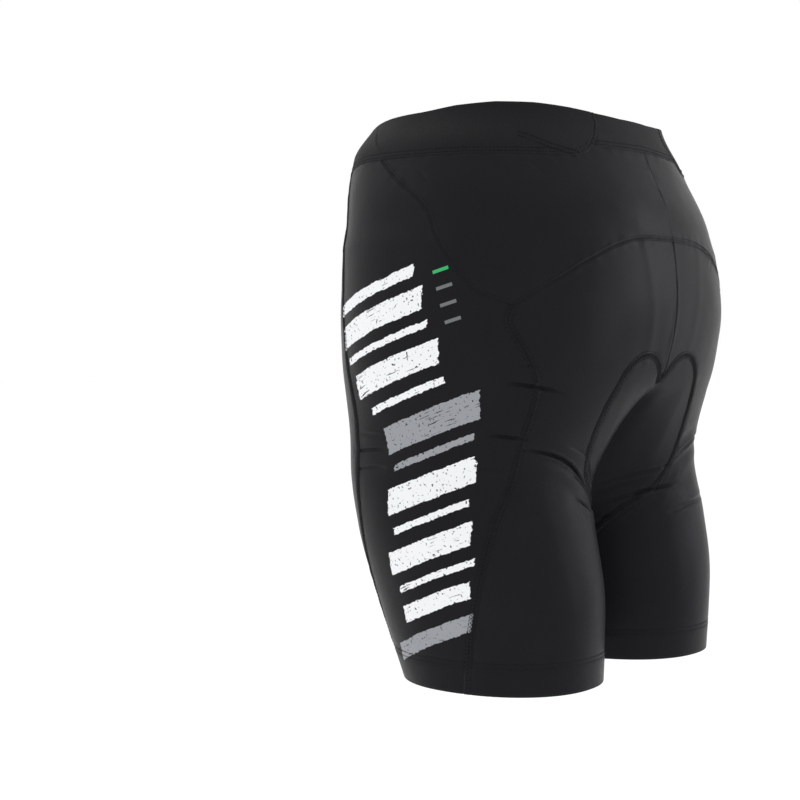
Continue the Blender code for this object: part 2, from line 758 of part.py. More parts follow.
def make_pad():
    """The foam seat pad, just inside the cloth of the crotch."""
    rows = [(p.half_width * PAD_WIDTH / 2, PAD_START + p.along * PAD_LENGTH) for p in PAD_EDGE_LINE]
    left = spaced(smooth_line(rows), SADDLE_STEP)
    left[0, 0] = left[-1, 0] = 0
    outline = join_lines(left, left[::-1] * FLAT_MIRROR)

    def sunk(base, flat):
        folds = np.maximum(0, fold_depth(base, FOLD_LINES, PAD_FOLD_SPREAD))
        share = np.clip((flat[:, 1] - PAD_ARCH_START) / PAD_ARCH_FADE, 0, 1)
        arch = np.exp(-(flat[:, 0] / PAD_ARCH_WIDTH) ** 2) * share
        return -(CLOTH + PAD_CLEAR + folds + PAD_ARCH_CLEAR * arch)

    def foam_wall(base, flat):
        gap = edge_gap(flat, outline)
        s = np.clip(gap / PAD_SLOPE, 0, 1)
        return PAD_EDGE + (PAD_THICK - PAD_EDGE) * s * (2 - s)

    cut_piece("seat_pad", oriented(outline, SADDLE_SPACE), SADDLE_SPACE, PAD_CUT, foam_wall, sunk)


for old in list(bpy.data.objects):
    bpy.data.objects.remove(old, do_unlink=True)
SHORTS = bpy.data.collections.new("cycling_shorts")
bpy.context.scene.collection.children.link(SHORTS)
SADDLE_SPACE = Saddle()
FOLD_LINES = fold_lines()
SEAMS = make_seams()
make_bands(SEAMS)
make_side_pieces(SEAMS)
make_saddle()
make_pad()
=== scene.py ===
"""Stretch cycling shorts as worn: the finished cloth, seams, stitching, print and seat pad."""

import math
from collections import namedtuple

import bpy
import numpy as np
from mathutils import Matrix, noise
from mathutils.geometry import delaunay_2d_cdt


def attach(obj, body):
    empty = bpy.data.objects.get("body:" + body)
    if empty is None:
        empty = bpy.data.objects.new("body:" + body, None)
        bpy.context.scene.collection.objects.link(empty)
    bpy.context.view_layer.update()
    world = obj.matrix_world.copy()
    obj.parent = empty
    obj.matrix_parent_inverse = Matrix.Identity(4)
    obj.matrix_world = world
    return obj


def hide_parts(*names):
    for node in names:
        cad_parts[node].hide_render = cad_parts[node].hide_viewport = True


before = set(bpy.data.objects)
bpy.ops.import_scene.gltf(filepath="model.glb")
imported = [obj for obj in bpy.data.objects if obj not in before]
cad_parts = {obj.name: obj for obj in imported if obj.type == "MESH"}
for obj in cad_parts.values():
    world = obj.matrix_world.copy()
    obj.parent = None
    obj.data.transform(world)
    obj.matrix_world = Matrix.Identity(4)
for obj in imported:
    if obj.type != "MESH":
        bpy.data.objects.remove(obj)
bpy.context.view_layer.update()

MM = 0.001
CLOTH = 1.6 * MM
BAND_CLOTH = 2.4 * MM
HEM_CLOTH = 2.4 * MM
HEM_HEIGHT = -0.421
HEM_DEPTH = 0.022
HEM_LINE = HEM_HEIGHT + HEM_DEPTH
SIDE_BAND_DEPTH = 0.036
BACK_BAND_DEPTH = 0.0275
SEAM_TUCK = 0.12 * MM
SEWN_WITHIN = 0.2
PATTERN_RADIUS = 0.100
LEG_AXIS = np.array([0.078, 0.012])
MIDDLE_AXIS = np.array([0.0, 0.0])
MIRROR = np.array([-1, 1, 1])
BOTH, LEFT, RIGHT = 0, 1, -1
FAR = 99.0


def table(kind, *rows):
    return [kind(*row) for row in rows]


# Waist edge
WAIST_SIDE = -0.003
WAIST_BACK_RISE = 0.003
WAIST_FRONT_DIP = 0.035
WAIST_DIP_ANGLE = math.radians(72)
# How far the finished top edge stands above or below that line, by turn about the middle
TOP_EDGE_RISE = [(0, 0), (45, -1.5), (68, -2.4), (85, -0.8), (98, 2.6), (112, 4.0), (126, 3.2), (140, 0.8),
                 (155, -2.4), (168, -4.0), (180, -4.2)]

# Level sections of the torso and of one leg
Section = namedtuple("Section", "height half_width front back")
TORSO = table(
    Section,
    (0.020, 0.120, 0.106, 0.092), (0.000, 0.123, 0.108, 0.094), (-0.033, 0.148, 0.120, 0.106),
    (-0.084, 0.166, 0.118, 0.127), (-0.140, 0.171, 0.109, 0.133), (-0.187, 0.163, 0.102, 0.125),
    (-0.243, 0.140, 0.088, 0.106), (-0.300, 0.110, 0.070, 0.080))
TORSO_SQUARENESS = 2.2
BOWL_TOP = -0.180
BOWL_DEPTH = 0.118
LegSection = namedtuple("LegSection", "height middle half_width front back")
LEG = table(
    LegSection,
    (-0.100, 0.072, 0.066, 0.078, 0.086), (-0.159, 0.075, 0.075, 0.093, 0.095),
    (-0.215, 0.080, 0.076, 0.094, 0.093), (-0.262, 0.084, 0.075, 0.092, 0.093),
    (-0.309, 0.085, 0.073, 0.085, 0.102), (-0.365, 0.083, 0.069, 0.067, 0.110),
    (-0.430, 0.081, 0.063, 0.042, 0.107))
LEG_SQUARENESS = 2.15
MELT_LEGS = 0.024
MELT_HIP = 0.050
CAST_REACH = 0.24
CAST_STEP = 0.004
CAST_HALVINGS = 22

# Seams, as turns in degrees about the leg axis (0 front, 90 outer side, 180 back) and heights
SeamPoint = namedtuple("SeamPoint", "turn height")
YOKE_CORNER = SeamPoint(137, -0.147)
DIAGONAL = table(SeamPoint, (73, -0.052), (97, -0.077), (105, -0.100), (113, -0.118), (122, -0.136))
YOKE = table(SeamPoint, (148, -0.135), (159, -0.124), (168, -0.115), (184, -0.102), (197, -0.096))
YOKE_CENTRE_HEIGHT = -0.0945
SIDE_BACK = table(
    SeamPoint,
    (135, -0.158), (141, -0.175), (147, -0.193), (149, -0.208), (147, -0.225), (143, -0.248), (139, -0.270),
    (132, -0.292), (127, -0.315), (122, -0.348), (118, -0.382), (115.5, HEM_HEIGHT))
FRONT_SIDE = table(
    SeamPoint,
    (36, -0.090), (41, -0.140), (45, -0.190), (46, -0.235), (45, -0.280), (41, -0.330), (37, -0.380),
    (35, HEM_HEIGHT))
INSEAM = table(SeamPoint, (262, -0.365), (252, HEM_HEIGHT))

# Waistband, as turns in degrees about the middle and depths below the waist edge
BandPoint = namedtuple("BandPoint", "turn depth")
FRONT_SIDE_TURN = 57
DIAGONAL_TURN = 79
LAP_UPPER = table(BandPoint, (151.5, 0), (152, 0.010), (150.4, 0.019), (147.6, BACK_BAND_DEPTH))
LAP_LOWER = table(BandPoint, (147.6, BACK_BAND_DEPTH), (144.3, 0.0325), (140, SIDE_BAND_DEPTH))
LAP_TURN_SCALE = 1000

# Saddle gusset, flat: distance along the crotch from the back notch, and half width there
EdgePoint = namedtuple("EdgePoint", "along half_width")
SADDLE_BACK = table(
    EdgePoint,
    (0, 0), (-0.013, 0.008), (-0.021, 0.018), (-0.0235, 0.030), (-0.020, 0.042), (-0.011, 0.052),
    (0.004, 0.059), (0.022, 0.064), (0.040, 0.067), (0.056, 0.067), (0.070, 0.063), (0.083, 0.055),
    (0.096, 0.044), (0.110, 0.034), (0.126, 0.028), (0.145, 0.026), (0.163, 0.026))
SADDLE_FRONT = table(
    EdgePoint,
    (0.163, 0.026), (0.190, 0.028), (0.220, 0.031), (0.248, 0.031), (0.268, 0.026), (0.281, 0.015),
    (0.286, 0))

# Folds and creases between two turns and heights on a leg: depths are troughs, ridges negative
Fold = namedtuple("Fold", "side turn_from height_from turn_to height_to bow depth width")
FOLDS = table(
    Fold,
    (BOTH, 146, -0.251, 200, -0.288, 8.0, 1.5, 6.5), (BOTH, 150, -0.258, 200, -0.298, 9.0, -1.2, 6.0),
    (BOTH, 131, -0.237, 146, -0.242, 0, 1.6, 5.0), (BOTH, 136, -0.201, 160, -0.207, 0, 1.4, 5.0),
    (BOTH, 168, -0.241, 189, -0.252, 0, 0.8, 5.0), (BOTH, 175, -0.284, 204, -0.294, 0, 1.2, 6.0),
    (BOTH, 44, -0.252, 72, -0.249, 0, 1.6, 5.5), (BOTH, 46, -0.264, 70, -0.262, 0, 1.4, 5.0),
    (BOTH, -40, -0.252, 12, -0.232, 0, 2.0, 7.0), (BOTH, -34, -0.272, 20, -0.262, 0, 1.4, 6.0),
    (LEFT, 141, -0.2470, 205, -0.2960, 12.5, 1.8, 1.35), (LEFT, 176, -0.2670, 200, -0.2960, 4.0, 1.2, 1.1),
    (LEFT, 125, -0.2369, 149, -0.2411, 0.5, 0.9, 1.2), (LEFT, 133, -0.2000, 163, -0.2085, 0.8, 1.2, 1.4),
    (LEFT, 137, -0.1870, 152, -0.1900, 0.5, 0.5, 1.5), (LEFT, 189, -0.2590, 204, -0.2830, 0.5, 2.0, 1.4),
    (LEFT, 170, -0.2455, 188, -0.2550, 0.6, 0.5, 1.4), (LEFT, 176, -0.2830, 204, -0.3040, 1.5, 1.5, 1.2),
    (BOTH, 31, -0.0120, 63, -0.0365, 0, 0.55, 1.2), (LEFT, 116, -0.2590, 140, -0.2620, 0.6, 0.5, 1.7),
    (LEFT, 42, -0.2525, 73, -0.2490, 1.0, 0.9, 1.5), (LEFT, 45, -0.2650, 69, -0.2620, 0.8, 0.7, 1.4),
    (LEFT, 50, -0.2390, 66, -0.2385, 0.5, 0.4, 1.5), (RIGHT, 148, -0.2450, 190, -0.2640, 3.0, 1.6, 1.9),
    (RIGHT, 190, -0.2680, 234, -0.2830, 2.0, 1.2, 1.5), (RIGHT, 204, -0.2760, 236, -0.2900, 1.0, 1.1, 1.4),
    (RIGHT, 184, -0.2830, 238, -0.2990, 2.5, 1.5, 1.6), (RIGHT, 150, -0.2960, 196, -0.3060, 2.0, 0.9, 2.0),
    (RIGHT, 134, -0.2100, 157, -0.2190, 0.8, 1.0, 1.5), (RIGHT, 128, -0.2320, 148, -0.2350, 0.6, 0.9, 1.5),
    (RIGHT, 118, -0.2500, 140, -0.2560, 0.6, 0.8, 1.7), (RIGHT, 47, -0.2460, 78, -0.2440, 1.0, 0.8, 1.6),
    (RIGHT, 43, -0.2590, 64, -0.2550, 0.8, 0.8, 1.5), (LEFT, -44, -0.2490, 16, -0.2300, 3.0, 1.5, 2.0),
    (LEFT, -36, -0.2700, 24, -0.2600, 2.5, 1.1, 1.9), (LEFT, -52, -0.2820, -8, -0.2790, 2.0, 0.9, 1.8),
    (RIGHT, -47, -0.2560, 8, -0.2350, 3.0, 1.4, 2.0), (RIGHT, -40, -0.2740, 14, -0.2690, 2.0, 1.2, 1.8),
    (RIGHT, -30, -0.2420, 6, -0.2260, 1.0, 0.7, 1.6), (BOTH, -66, -0.2960, -30, -0.2900, 1.5, 0.9, 2.0),
    (LEFT, 214, -0.3030, 246, -0.3060, 1.5, 0.9, 1.8), (RIGHT, 226, -0.3100, 252, -0.3080, 1.5, 0.8, 1.8),
    (LEFT, 197.5, -0.0800, 203, -0.1880, 0, -0.50, 4.8), (RIGHT, 195, -0.0900, 202, -0.1800, 0, -0.30, 5.6),
    (BOTH, 88, -0.0500, 98, -0.0620, 0.4, 0.2, 2.2), (LEFT, 150, -0.0440, 158, -0.0560, 0.4, 0.13, 2.2),
    (RIGHT, 162, -0.0400, 168, -0.0520, 0.4, 0.2, 2.0), (RIGHT, 176, -0.1020, 186, -0.1130, 0.4, 0.3, 2.1),
    (RIGHT, 158, -0.1240, 166, -0.1340, 0.4, 0.3, 2.1))
FOLD_STEPS = 11
CREASE_ROWS = (-2.3, -1.5, -1.0, -0.55, -0.2, 0.2, 0.55, 1.0, 1.5, 2.3)
CREASE_WIDTH = 3.0
CREASE_DEPTH = 1.6
CREASE_NARROW = 0.72
CREASE_END, FOLD_END = 0.01, 0.08
FADE_POWER = 0.8
FOLD_REACH = 4.5

# The cleft between the legs: how deep it is, in mm, at heights down the back of the crotch
CLEFT = [(-0.420, 0), (-0.345, 0), (-0.325, 2.0), (-0.305, 5.0), (-0.290, 8.5), (-0.275, 12.0),
         (-0.258, 15.5), (-0.244, 16.5), (-0.232, 14.5), (-0.221, 10.5), (-0.212, 6.0), (-0.203, 2.2),
         (-0.192, 0.6), (-0.175, 0)]
CLEFT_HALF_WIDTH = 44.0
CLEFT_DEPTH = 1.12
CLEFT_OPEN, CLEFT_TIGHT = 0.72, 0.28
CLEFT_TIGHT_WIDTH = 8.0
CLEFT_FRONT = 0.03

# Unevenness of the cloth, by the seams and everywhere, of the pad, and of the wear
Wave = namedtuple("Wave", "size seed rise")
PUCKER_WAVES = table(Wave, (8 * MM, 3.1, 0.48))
PUCKER_REACH = 5.5
CLOTH_WAVES = table(Wave, (46 * MM, 7.7, 0.42), (17 * MM, 1.3, 0.12))
PAD_WAVES = table(Wave, (24 * MM, 2.2, 0.35), (7 * MM, 9.1, 0.10))
WEAR_WAVES = table(Wave, (21 * MM, 5.5, 0.25))

SEAM_STEP = 1.5 * MM
RINGS = tuple(mm * MM for mm in (0.4, 0.9, 1.5, 2.2, 3.0, 4.0, 5.2))
RING_CELL = 0.36 * MM
RING_KEEP = 0.93
CREASE_CLEAR = 0.9 * MM
CREASE_STEP = 1.3 * MM
ROW_SHARE = 0.87
CLEAR_SHARE = 0.45
CORNER_LIMIT = 0.8
ROLL_SHARE = 0.92
TOP_EDGE_FADE = 0.02
BAND_GRID = 3.2 * MM
SADDLE_GRID = 2.1 * MM
PAD_GRID = 1.9 * MM


# Form: the same melted torso and legs as the solids

def eased(s, span, start, end, start_slope, end_slope):
    """A smooth run from one value to the next that keeps the slopes at both."""
    first = (1 + 2 * s) * (1 - s) ** 2 * start + s * (1 - s) ** 2 * span * start_slope
    last = s * s * (3 - 2 * s) * end + s * s * (s - 1) * span * end_slope
    return first + last


def monotone_table(rows, column, heights):
    """One column of a section table, read smoothly at many heights with no overshoot."""
    ordered = sorted(rows, key=lambda row: row[0])
    x = np.array([row[0] for row in ordered])
    y = np.array([getattr(row, column) for row in ordered])
    step = np.diff(x)
    slope = np.diff(y) / step
    total = slope[:-1] + slope[1:]
    safe = np.where(np.abs(total) < 1e-12, 1.0, total)
    inner = np.where(slope[:-1] * slope[1:] > 0, 2 * slope[:-1] * slope[1:] / safe, 0)
    tangent = np.concatenate([slope[:1], inner, slope[-1:]])
    at = np.clip(heights, x[0], x[-1])
    i = np.clip(np.searchsorted(x, at) - 1, 0, len(x) - 2)
    s = (at - x[i]) / step[i]
    return eased(s, step[i], y[i], y[i + 1], tangent[i], tangent[i + 1])


HEIGHTS = np.linspace(-0.45, 0.05, 2001)
TORSO_AT = {c: monotone_table(TORSO, c, HEIGHTS) for c in Section._fields[1:]}
LEG_AT = {c: monotone_table(LEG, c, HEIGHTS) for c in LegSection._fields[1:]}


def at_height(table, heights):
    return [np.interp(heights, HEIGHTS, column) for column in table.values()]


def oval(x, y, half_width, half_depth, squareness):
    share = np.abs(x / half_width) ** squareness + np.abs(y / half_depth) ** squareness
    return share ** (1 / squareness)


def torso_field(p):
    width, front, back = at_height(TORSO_AT, p[..., 2])
    y = p[..., 1] - (back - front) / 2
    below = np.maximum(0, BOWL_TOP - p[..., 2])
    level = oval(p[..., 0], y, width, (back + front) / 2, TORSO_SQUARENESS)
    size = np.hypot(level, below / BOWL_DEPTH)
    reach = np.sqrt(p[..., 0] ** 2 + y ** 2 + below ** 2)
    return reach * (1 - 1 / np.maximum(size, 1e-6))


def leg_field(p, side):
    middle, width, front, back = at_height(LEG_AT, p[..., 2])
    x = p[..., 0] * side - middle
    y = p[..., 1] - (back - front) / 2
    size = oval(x, y, width, (back + front) / 2, LEG_SQUARENESS)
    above = np.maximum(0, p[..., 2] - LEG[0].height)
    return np.hypot(x, y) * (1 - 1 / np.maximum(size, 1e-6)) + above


def melt(a, b, width):
    """Two distances joined with a soft fillet."""
    near = np.maximum(width - np.abs(a - b), 0) / width
    return np.minimum(a, b) - near ** 2 * width / 4


def field(p):
    legs = melt(leg_field(p, 1), leg_field(p, -1), MELT_LEGS)
    return melt(torso_field(p), legs, MELT_HIP)


def gradient(p, step=2e-4):
    moves = np.eye(3) * step
    return np.stack([(field(p + m) - field(p - m)) / (2 * step) for m in moves], axis=-1)


def unit(ways):
    return ways / np.linalg.norm(ways, axis=-1, keepdims=True)


def normals(p):
    return unit(gradient(p))


def settle(p, rounds=4):
    """Points near the form, moved onto it."""
    for _ in range(rounds):
        g = gradient(p)
        p = p - (field(p) / (g ** 2).sum(-1))[..., None] * g
    return p


def batches(count, size=4000):
    return [slice(low, low + size) for low in range(0, count, size)]


def cast(start, direction):
    """Where rays from inside the form leave it."""
    reach = np.arange(0, CAST_REACH, CAST_STEP)
    first = np.zeros(len(start), int)
    for part in batches(len(start)):
        steps = start[part, None, :] + direction[part, None, :] * reach[:, None]
        first[part] = np.argmax(field(steps) > 0, axis=1)
    near = reach[np.maximum(first - 1, 0)]
    far = reach[first]
    for _ in range(CAST_HALVINGS):
        half = (near + far) / 2
        out = field(start + direction * half[:, None]) > 0
        far = np.where(out, half, far)
        near = np.where(out, near, half)
    return start + direction * far[:, None]


def around(turns, heights, axis=LEG_AXIS):
    turns, heights = np.broadcast_arrays(np.asarray(turns, float), np.asarray(heights, float))
    start = np.stack([np.full(turns.shape, axis[0]), np.full(turns.shape, axis[1]), heights], -1)
    direction = np.stack([np.sin(turns), -np.cos(turns), np.zeros(turns.shape)], -1)
    return cast(start, direction)


def on_centre(heights, way):
    heights = np.asarray(heights, float)
    zero = np.zeros(heights.shape)
    return cast(np.stack([zero, zero, heights], -1), np.stack([zero, zero + way, zero], -1))


def smooth_line(points, per_span=24):
    """A smooth curve through a few points."""
    p = np.asarray(points, float)
    chord = np.sqrt(np.linalg.norm(np.diff(p, axis=0), axis=1))
    knot = np.concatenate([[0], np.cumsum(chord)])
    ends = np.vstack([2 * p[0] - p[1], p, 2 * p[-1] - p[-2]])
    knots = np.concatenate([[-chord[0]], knot, [knot[-1] + chord[-1]]])
    slope = (ends[2:] - ends[:-2]) / (knots[2:] - knots[:-2])[:, None]
    rows = []
    for i, span in enumerate(chord):
        s = np.linspace(0, 1, per_span, endpoint=False)[:, None]
        rows.append(eased(s, span, p[i], p[i + 1], slope[i], slope[i + 1]))
    return np.vstack(rows + [p[-1:]])


def on_side(line, side):
    """A line of the left side, or its mirror image for the right side."""
    return line * np.array([side, 1, 1])


def closed(line):
    return np.vstack([line, line[:1]])


def run_of(points):
    return np.concatenate([[0], np.cumsum(np.linalg.norm(np.diff(points, axis=0), axis=1))])


def evenly(points, count):
    """The same line as a given number of points at even distances."""
    run = run_of(points)
    marks = np.linspace(0, run[-1], count)
    return np.stack([np.interp(marks, run, points[:, k]) for k in range(points.shape[1])], -1)


def spaced(points, step=SEAM_STEP):
    return evenly(points, max(2, int(round(run_of(points)[-1] / step)) + 1))


# Seams

def waist_edge(turn):
    turn = np.abs((np.asarray(turn) + math.pi) % (2 * math.pi) - math.pi)
    s = np.clip(turn / WAIST_DIP_ANGLE, 0, 1)
    dip = WAIST_FRONT_DIP * (1 - s * s * (3 - 2 * s))
    rise = WAIST_BACK_RISE * np.clip((turn - math.pi / 2) / (math.pi / 2), 0, 1)
    return WAIST_SIDE - dip + rise


def raised_top(line):
    """A line near the top edge of the band, moved to where the photo shows that edge."""
    turns = np.degrees(np.arctan2(np.abs(line[:, 0]), -line[:, 1]))
    rise = np.interp(turns, *np.transpose(TOP_EDGE_RISE)) * MM
    depth = waist_edge(np.radians(turns)) - line[:, 2]
    return settle(line + np.array([0, 0, 1]) * (rise * np.clip(1 - depth / TOP_EDGE_FADE, 0, 1))[:, None])


def band_line(turns, depths):
    turns = np.radians(turns)
    return around(turns, waist_edge(turns) - depths, MIDDLE_AXIS)


def band_run(first, last, depth):
    turns = np.linspace(first, last, int(abs(last - first) * 2) + 2)
    return spaced(band_line(turns, np.full(turns.shape, depth)))


def lap_line(rows):
    flat = smooth_line([(row.turn / LAP_TURN_SCALE, row.depth) for row in rows])
    return spaced(band_line(flat[:, 0] * LAP_TURN_SCALE, flat[:, 1]))


def leg_turn(point, near):
    turn = math.atan2(point[0] - LEG_AXIS[0], LEG_AXIS[1] - point[1])
    return turn + 2 * math.pi * round((near - turn) / (2 * math.pi))


def leg_seam(rows, start, end=None):
    turns = np.radians([row.turn for row in rows])
    flat = [(turn * PATTERN_RADIUS, row.height) for turn, row in zip(turns, rows)]
    flat.insert(0, (leg_turn(start, turns[0]) * PATTERN_RADIUS, start[2]))
    if end is not None:
        flat.append((leg_turn(end, turns[-1]) * PATTERN_RADIUS, end[2]))
    line = smooth_line(flat)
    points = around(line[:, 0] / PATTERN_RADIUS, line[:, 1])
    points[0] = start
    if end is not None:
        points[-1] = end
    return spaced(points)


class Cylinder:
    """Flat pattern space of a piece that wraps an upright axis."""

    def __init__(self, axis, middle_turn):
        self.axis = axis
        self.middle = math.radians(middle_turn)

    def flat(self, points):
        turn = np.arctan2(points[:, 0] - self.axis[0], self.axis[1] - points[:, 1])
        turn = (turn - self.middle + math.pi) % (2 * math.pi) - math.pi
        return np.stack([turn * PATTERN_RADIUS, points[:, 2]], -1)

    def lift(self, flat):
        return around(flat[:, 0] / PATTERN_RADIUS + self.middle, flat[:, 1], self.axis)


class Saddle:
    """Flat pattern space of the crotch: across, and along its middle from the back notch."""

    notch_height = -0.203
    pivot = np.array([0.0, 0.0, -0.200])
    sweep = 103
    along_from, along_to = -0.030, 0.325
    step = 0.004
    steps_across = 27

    def __init__(self):
        turn = np.radians(np.linspace(self.sweep, -self.sweep, 413))
        direction = np.stack([np.zeros(turn.shape), np.sin(turn), -np.cos(turn)], -1)
        middle = cast(np.broadcast_to(self.pivot, direction.shape), direction)
        run = run_of(middle)
        behind = middle[:, 1] > 0
        start = np.interp(-self.notch_height, -middle[behind, 2], run[behind])
        self.along = np.arange(self.along_from, self.along_to, self.step)
        rows = np.stack([np.interp(self.along + start, run, middle[:, k]) for k in range(3)], -1)
        self.grid = self.march(settle(rows))

    def march(self, row):
        """Rows of points that step sideways from the middle, each straight on along the form."""
        rows = [row]
        way = np.broadcast_to(np.array([1.0, 0, 0]), row.shape)
        for _ in range(self.steps_across):
            last = rows[-1]
            new = settle(last + self.step * way)
            stride = np.linalg.norm(new - last, axis=1, keepdims=True)
            new = settle(last + (new - last) * (self.step / stride))
            way = new - last
            out = normals(new)
            way = unit(way - (way * out).sum(1, keepdims=True) * out)
            rows.append(new)
        return np.array(rows)

    def lift(self, flat):
        side = np.where(flat[:, 0] < 0, -1, 1)
        u = np.clip(np.abs(flat[:, 0]) / self.step, 0, self.steps_across - 1e-6)
        v = np.clip((flat[:, 1] - self.along[0]) / self.step, 0, len(self.along) - 1 - 1e-6)
        i = u.astype(int)
        j = v.astype(int)
        s = (u - i)[:, None]
        t = (v - j)[:, None]
        g = self.grid
        near = g[i, j] * (1 - t) + g[i, j + 1] * t
        far = g[i + 1, j] * (1 - t) + g[i + 1, j + 1] * t
        points = settle(near * (1 - s) + far * s)
        points[:, 0] *= side
        points[np.abs(flat[:, 0]) < 1e-9, 0] = 0
        return points


def saddle_edge(rows):
    return spaced(smooth_line([(row.half_width, row.along) for row in rows]))


def leg_hem(first, last):
    turns = np.radians(np.linspace(first, last, 120))
    return spaced(around(turns, np.full(turns.shape, HEM_HEIGHT)))


def middle_run(top, bottom, count, way):
    return spaced(on_centre(np.linspace(top, bottom, count), way))


def make_seams():
    """The seams of the left half and of the middle, by name, as rows of points on the form."""
    seams = {}
    corner = around([math.radians(YOKE_CORNER.turn)], [YOKE_CORNER.height])[0]
    yoke_centre = on_centre([YOKE_CENTRE_HEIGHT], 1)[0]
    seams["band_front"] = band_run(0, FRONT_SIDE_TURN, SIDE_BAND_DEPTH)
    seams["band_side"] = band_run(FRONT_SIDE_TURN, DIAGONAL_TURN, SIDE_BAND_DEPTH)
    seams["band_yoke"] = band_run(DIAGONAL_TURN, LAP_LOWER[-1].turn, SIDE_BAND_DEPTH)
    seams["band_back"] = band_run(LAP_LOWER[0].turn, 180, BACK_BAND_DEPTH)
    seams["lap_upper"] = lap_line(LAP_UPPER)
    seams["lap_lower"] = lap_line(LAP_LOWER)
    seams["top_front"] = band_run(0, LAP_UPPER[0].turn, 0)
    seams["top_back"] = band_run(LAP_UPPER[0].turn, 180, 0)
    seams["diagonal"] = leg_seam(DIAGONAL, seams["band_yoke"][0], corner)
    seams["yoke"] = leg_seam(YOKE, corner, yoke_centre)
    seams["saddle_back"] = SADDLE_SPACE.lift(saddle_edge(SADDLE_BACK))
    seams["saddle_front"] = SADDLE_SPACE.lift(saddle_edge(SADDLE_FRONT))
    seams["side_back"] = leg_seam(SIDE_BACK, corner)
    seams["front_side"] = leg_seam(FRONT_SIDE, seams["band_front"][-1])
    seams["inseam"] = leg_seam(INSEAM, seams["saddle_back"][-1])
    seams["yoke_middle"] = middle_run(seams["band_back"][-1][2], YOKE_CENTRE_HEIGHT, 60, 1)
    seams["back_middle"] = middle_run(YOKE_CENTRE_HEIGHT, seams["saddle_back"][0][2], 80, 1)
    seams["front_middle"] = middle_run(seams["band_front"][0][2], seams["saddle_front"][-1][2], 120, -1)
    seams["back_middle"][-1] = seams["saddle_back"][0]
    seams["front_middle"][-1] = seams["saddle_front"][-1]
    seams["front_middle"][0] = seams["band_front"][0]
    seams["yoke_middle"][0] = seams["band_back"][-1]
    turns = (INSEAM[-1].turn - 360, FRONT_SIDE[-1].turn, SIDE_BACK[-1].turn, INSEAM[-1].turn)
    for part, first, last in zip(("front", "side", "back"), turns[:-1], turns[1:]):
        seams["hem_" + part] = leg_hem(first, last)
    for name in ("top_front", "top_back", "lap_upper"):
        seams[name] = raised_top(seams[name])
    seams["top_back"][-1, 0] = seams["top_front"][0, 0] = 0.0
    return seams


# What the surface does near each sort of edge, as sums of bells by distance from it in mm
PLAIN, PRESSED, FLATLOCK, UNDER_BAND, BAND_FOOT, LAP, RAW = range(7)
NEEDLE_OFFSET = 2.7
FOOT_LAP = 1.2
FOOT_ROWS = (2.6, 5.6)
LAP_ROW = 2.6
PLAIN_ROW = 1.8
BAND_FRONT_RISE = 0.26
BAND_BACK_RISE = 0.16
HEM_ROW = 1.6
Bell = namedtuple("Bell", "rise width middle power", defaults=(0.0, 2))
SEAM_FORM = {
    PLAIN: table(Bell, (-0.45, 0.8), (0.12, 1.3, 2.4)),
    PRESSED: table(Bell, (-0.17, 0.8)),
    FLATLOCK: table(Bell, (0.36, 2.1, 0, 4), (-0.26, 0.6), (-0.36, 0.8, NEEDLE_OFFSET + 0.2)),
    UNDER_BAND: table(Bell, (-0.24, 2.1, 0, 4)),
    BAND_FOOT: [Bell(-0.26, 0.7, row) for row in FOOT_ROWS],
    LAP: table(Bell, (-0.26, 0.7, LAP_ROW)),
    RAW: [],
}
ALLOWANCE_FORM = table(Bell, (0.5, 2.6, 0, 4), (-0.35, 0.6))
CREASE_FORM = table(Bell, (1.0, 1.0, 0, 1.5), (-0.26, 1.1, 2.3))
HEM_FORM = [Bell(-0.30, 0.7, row) for row in (HEM_ROW, -HEM_ROW)]
SEAM_WEAR = table(Bell, (0.45, 3.2))
EDGE_WEAR = table(Bell, (0.8, 2.0))
HEM_STEP = 0.25
HEM_STEP_WIDTH = 0.8


def bell(gap, width, middle=0.0, power=2):
    return np.exp(-np.abs((gap - middle) / width) ** power)


def summed(bells, gap):
    """Height in mm of a set of bells at distances in mm."""
    return sum((b.rise * bell(gap, b.width, b.middle, b.power) for b in bells), np.zeros(np.shape(gap)))


def seam_height(kind, gap):
    """Height in mm added to the outer surface at a distance in mm from an edge."""
    return summed(SEAM_FORM[kind], gap)


def seam_bulk(kind, gap):
    """Height in mm added to the inner face, where the seam allowance lies."""
    return summed(ALLOWANCE_FORM if kind in (PLAIN, FLATLOCK) else [], gap)


def roll(gap, thickness):
    """How far a raw edge of a given thickness in mm rounds over, at a distance in mm from it."""
    radius = thickness / 2
    s = np.clip(1 - gap / radius, 0, 1)
    return radius * ROLL_SHARE * (1 - np.sqrt(1 - s * s))


def stretch_gaps(points, line):
    """How far each point is from each stretch of a line, and at what share of the stretch."""
    start = line[:-1]
    span = line[1:] - start
    rel = points[:, None, :] - start
    share = np.clip((rel * span).sum(-1) / np.maximum((span ** 2).sum(-1), 1e-18), 0, 1)
    return np.linalg.norm(rel - share[..., None] * span, axis=-1), share


def gap_to(points, lines):
    """Distances of points from a set of lines, each given as rows of points."""
    best = np.full(len(points), np.inf)
    for line in lines:
        for part in batches(len(points)):
            best[part] = np.minimum(best[part], stretch_gaps(points[part], line)[0].min(1))
    return best


def is_inside(points, outline):
    ahead = np.roll(outline, -1, axis=0)
    span = ahead - outline
    rise = np.where(span[:, 1] == 0, 1e-12, span[:, 1])
    inside = np.zeros(len(points), bool)
    for part in batches(len(points)):
        height = points[part, None, 1]
        crosses = (outline[:, 1] > height) != (ahead[:, 1] > height)
        at = outline[:, 0] + (height - outline[:, 1]) / rise * span[:, 0]
        inside[part] = (crosses & (points[part, None, 0] < at)).sum(1) % 2 == 1
    return inside


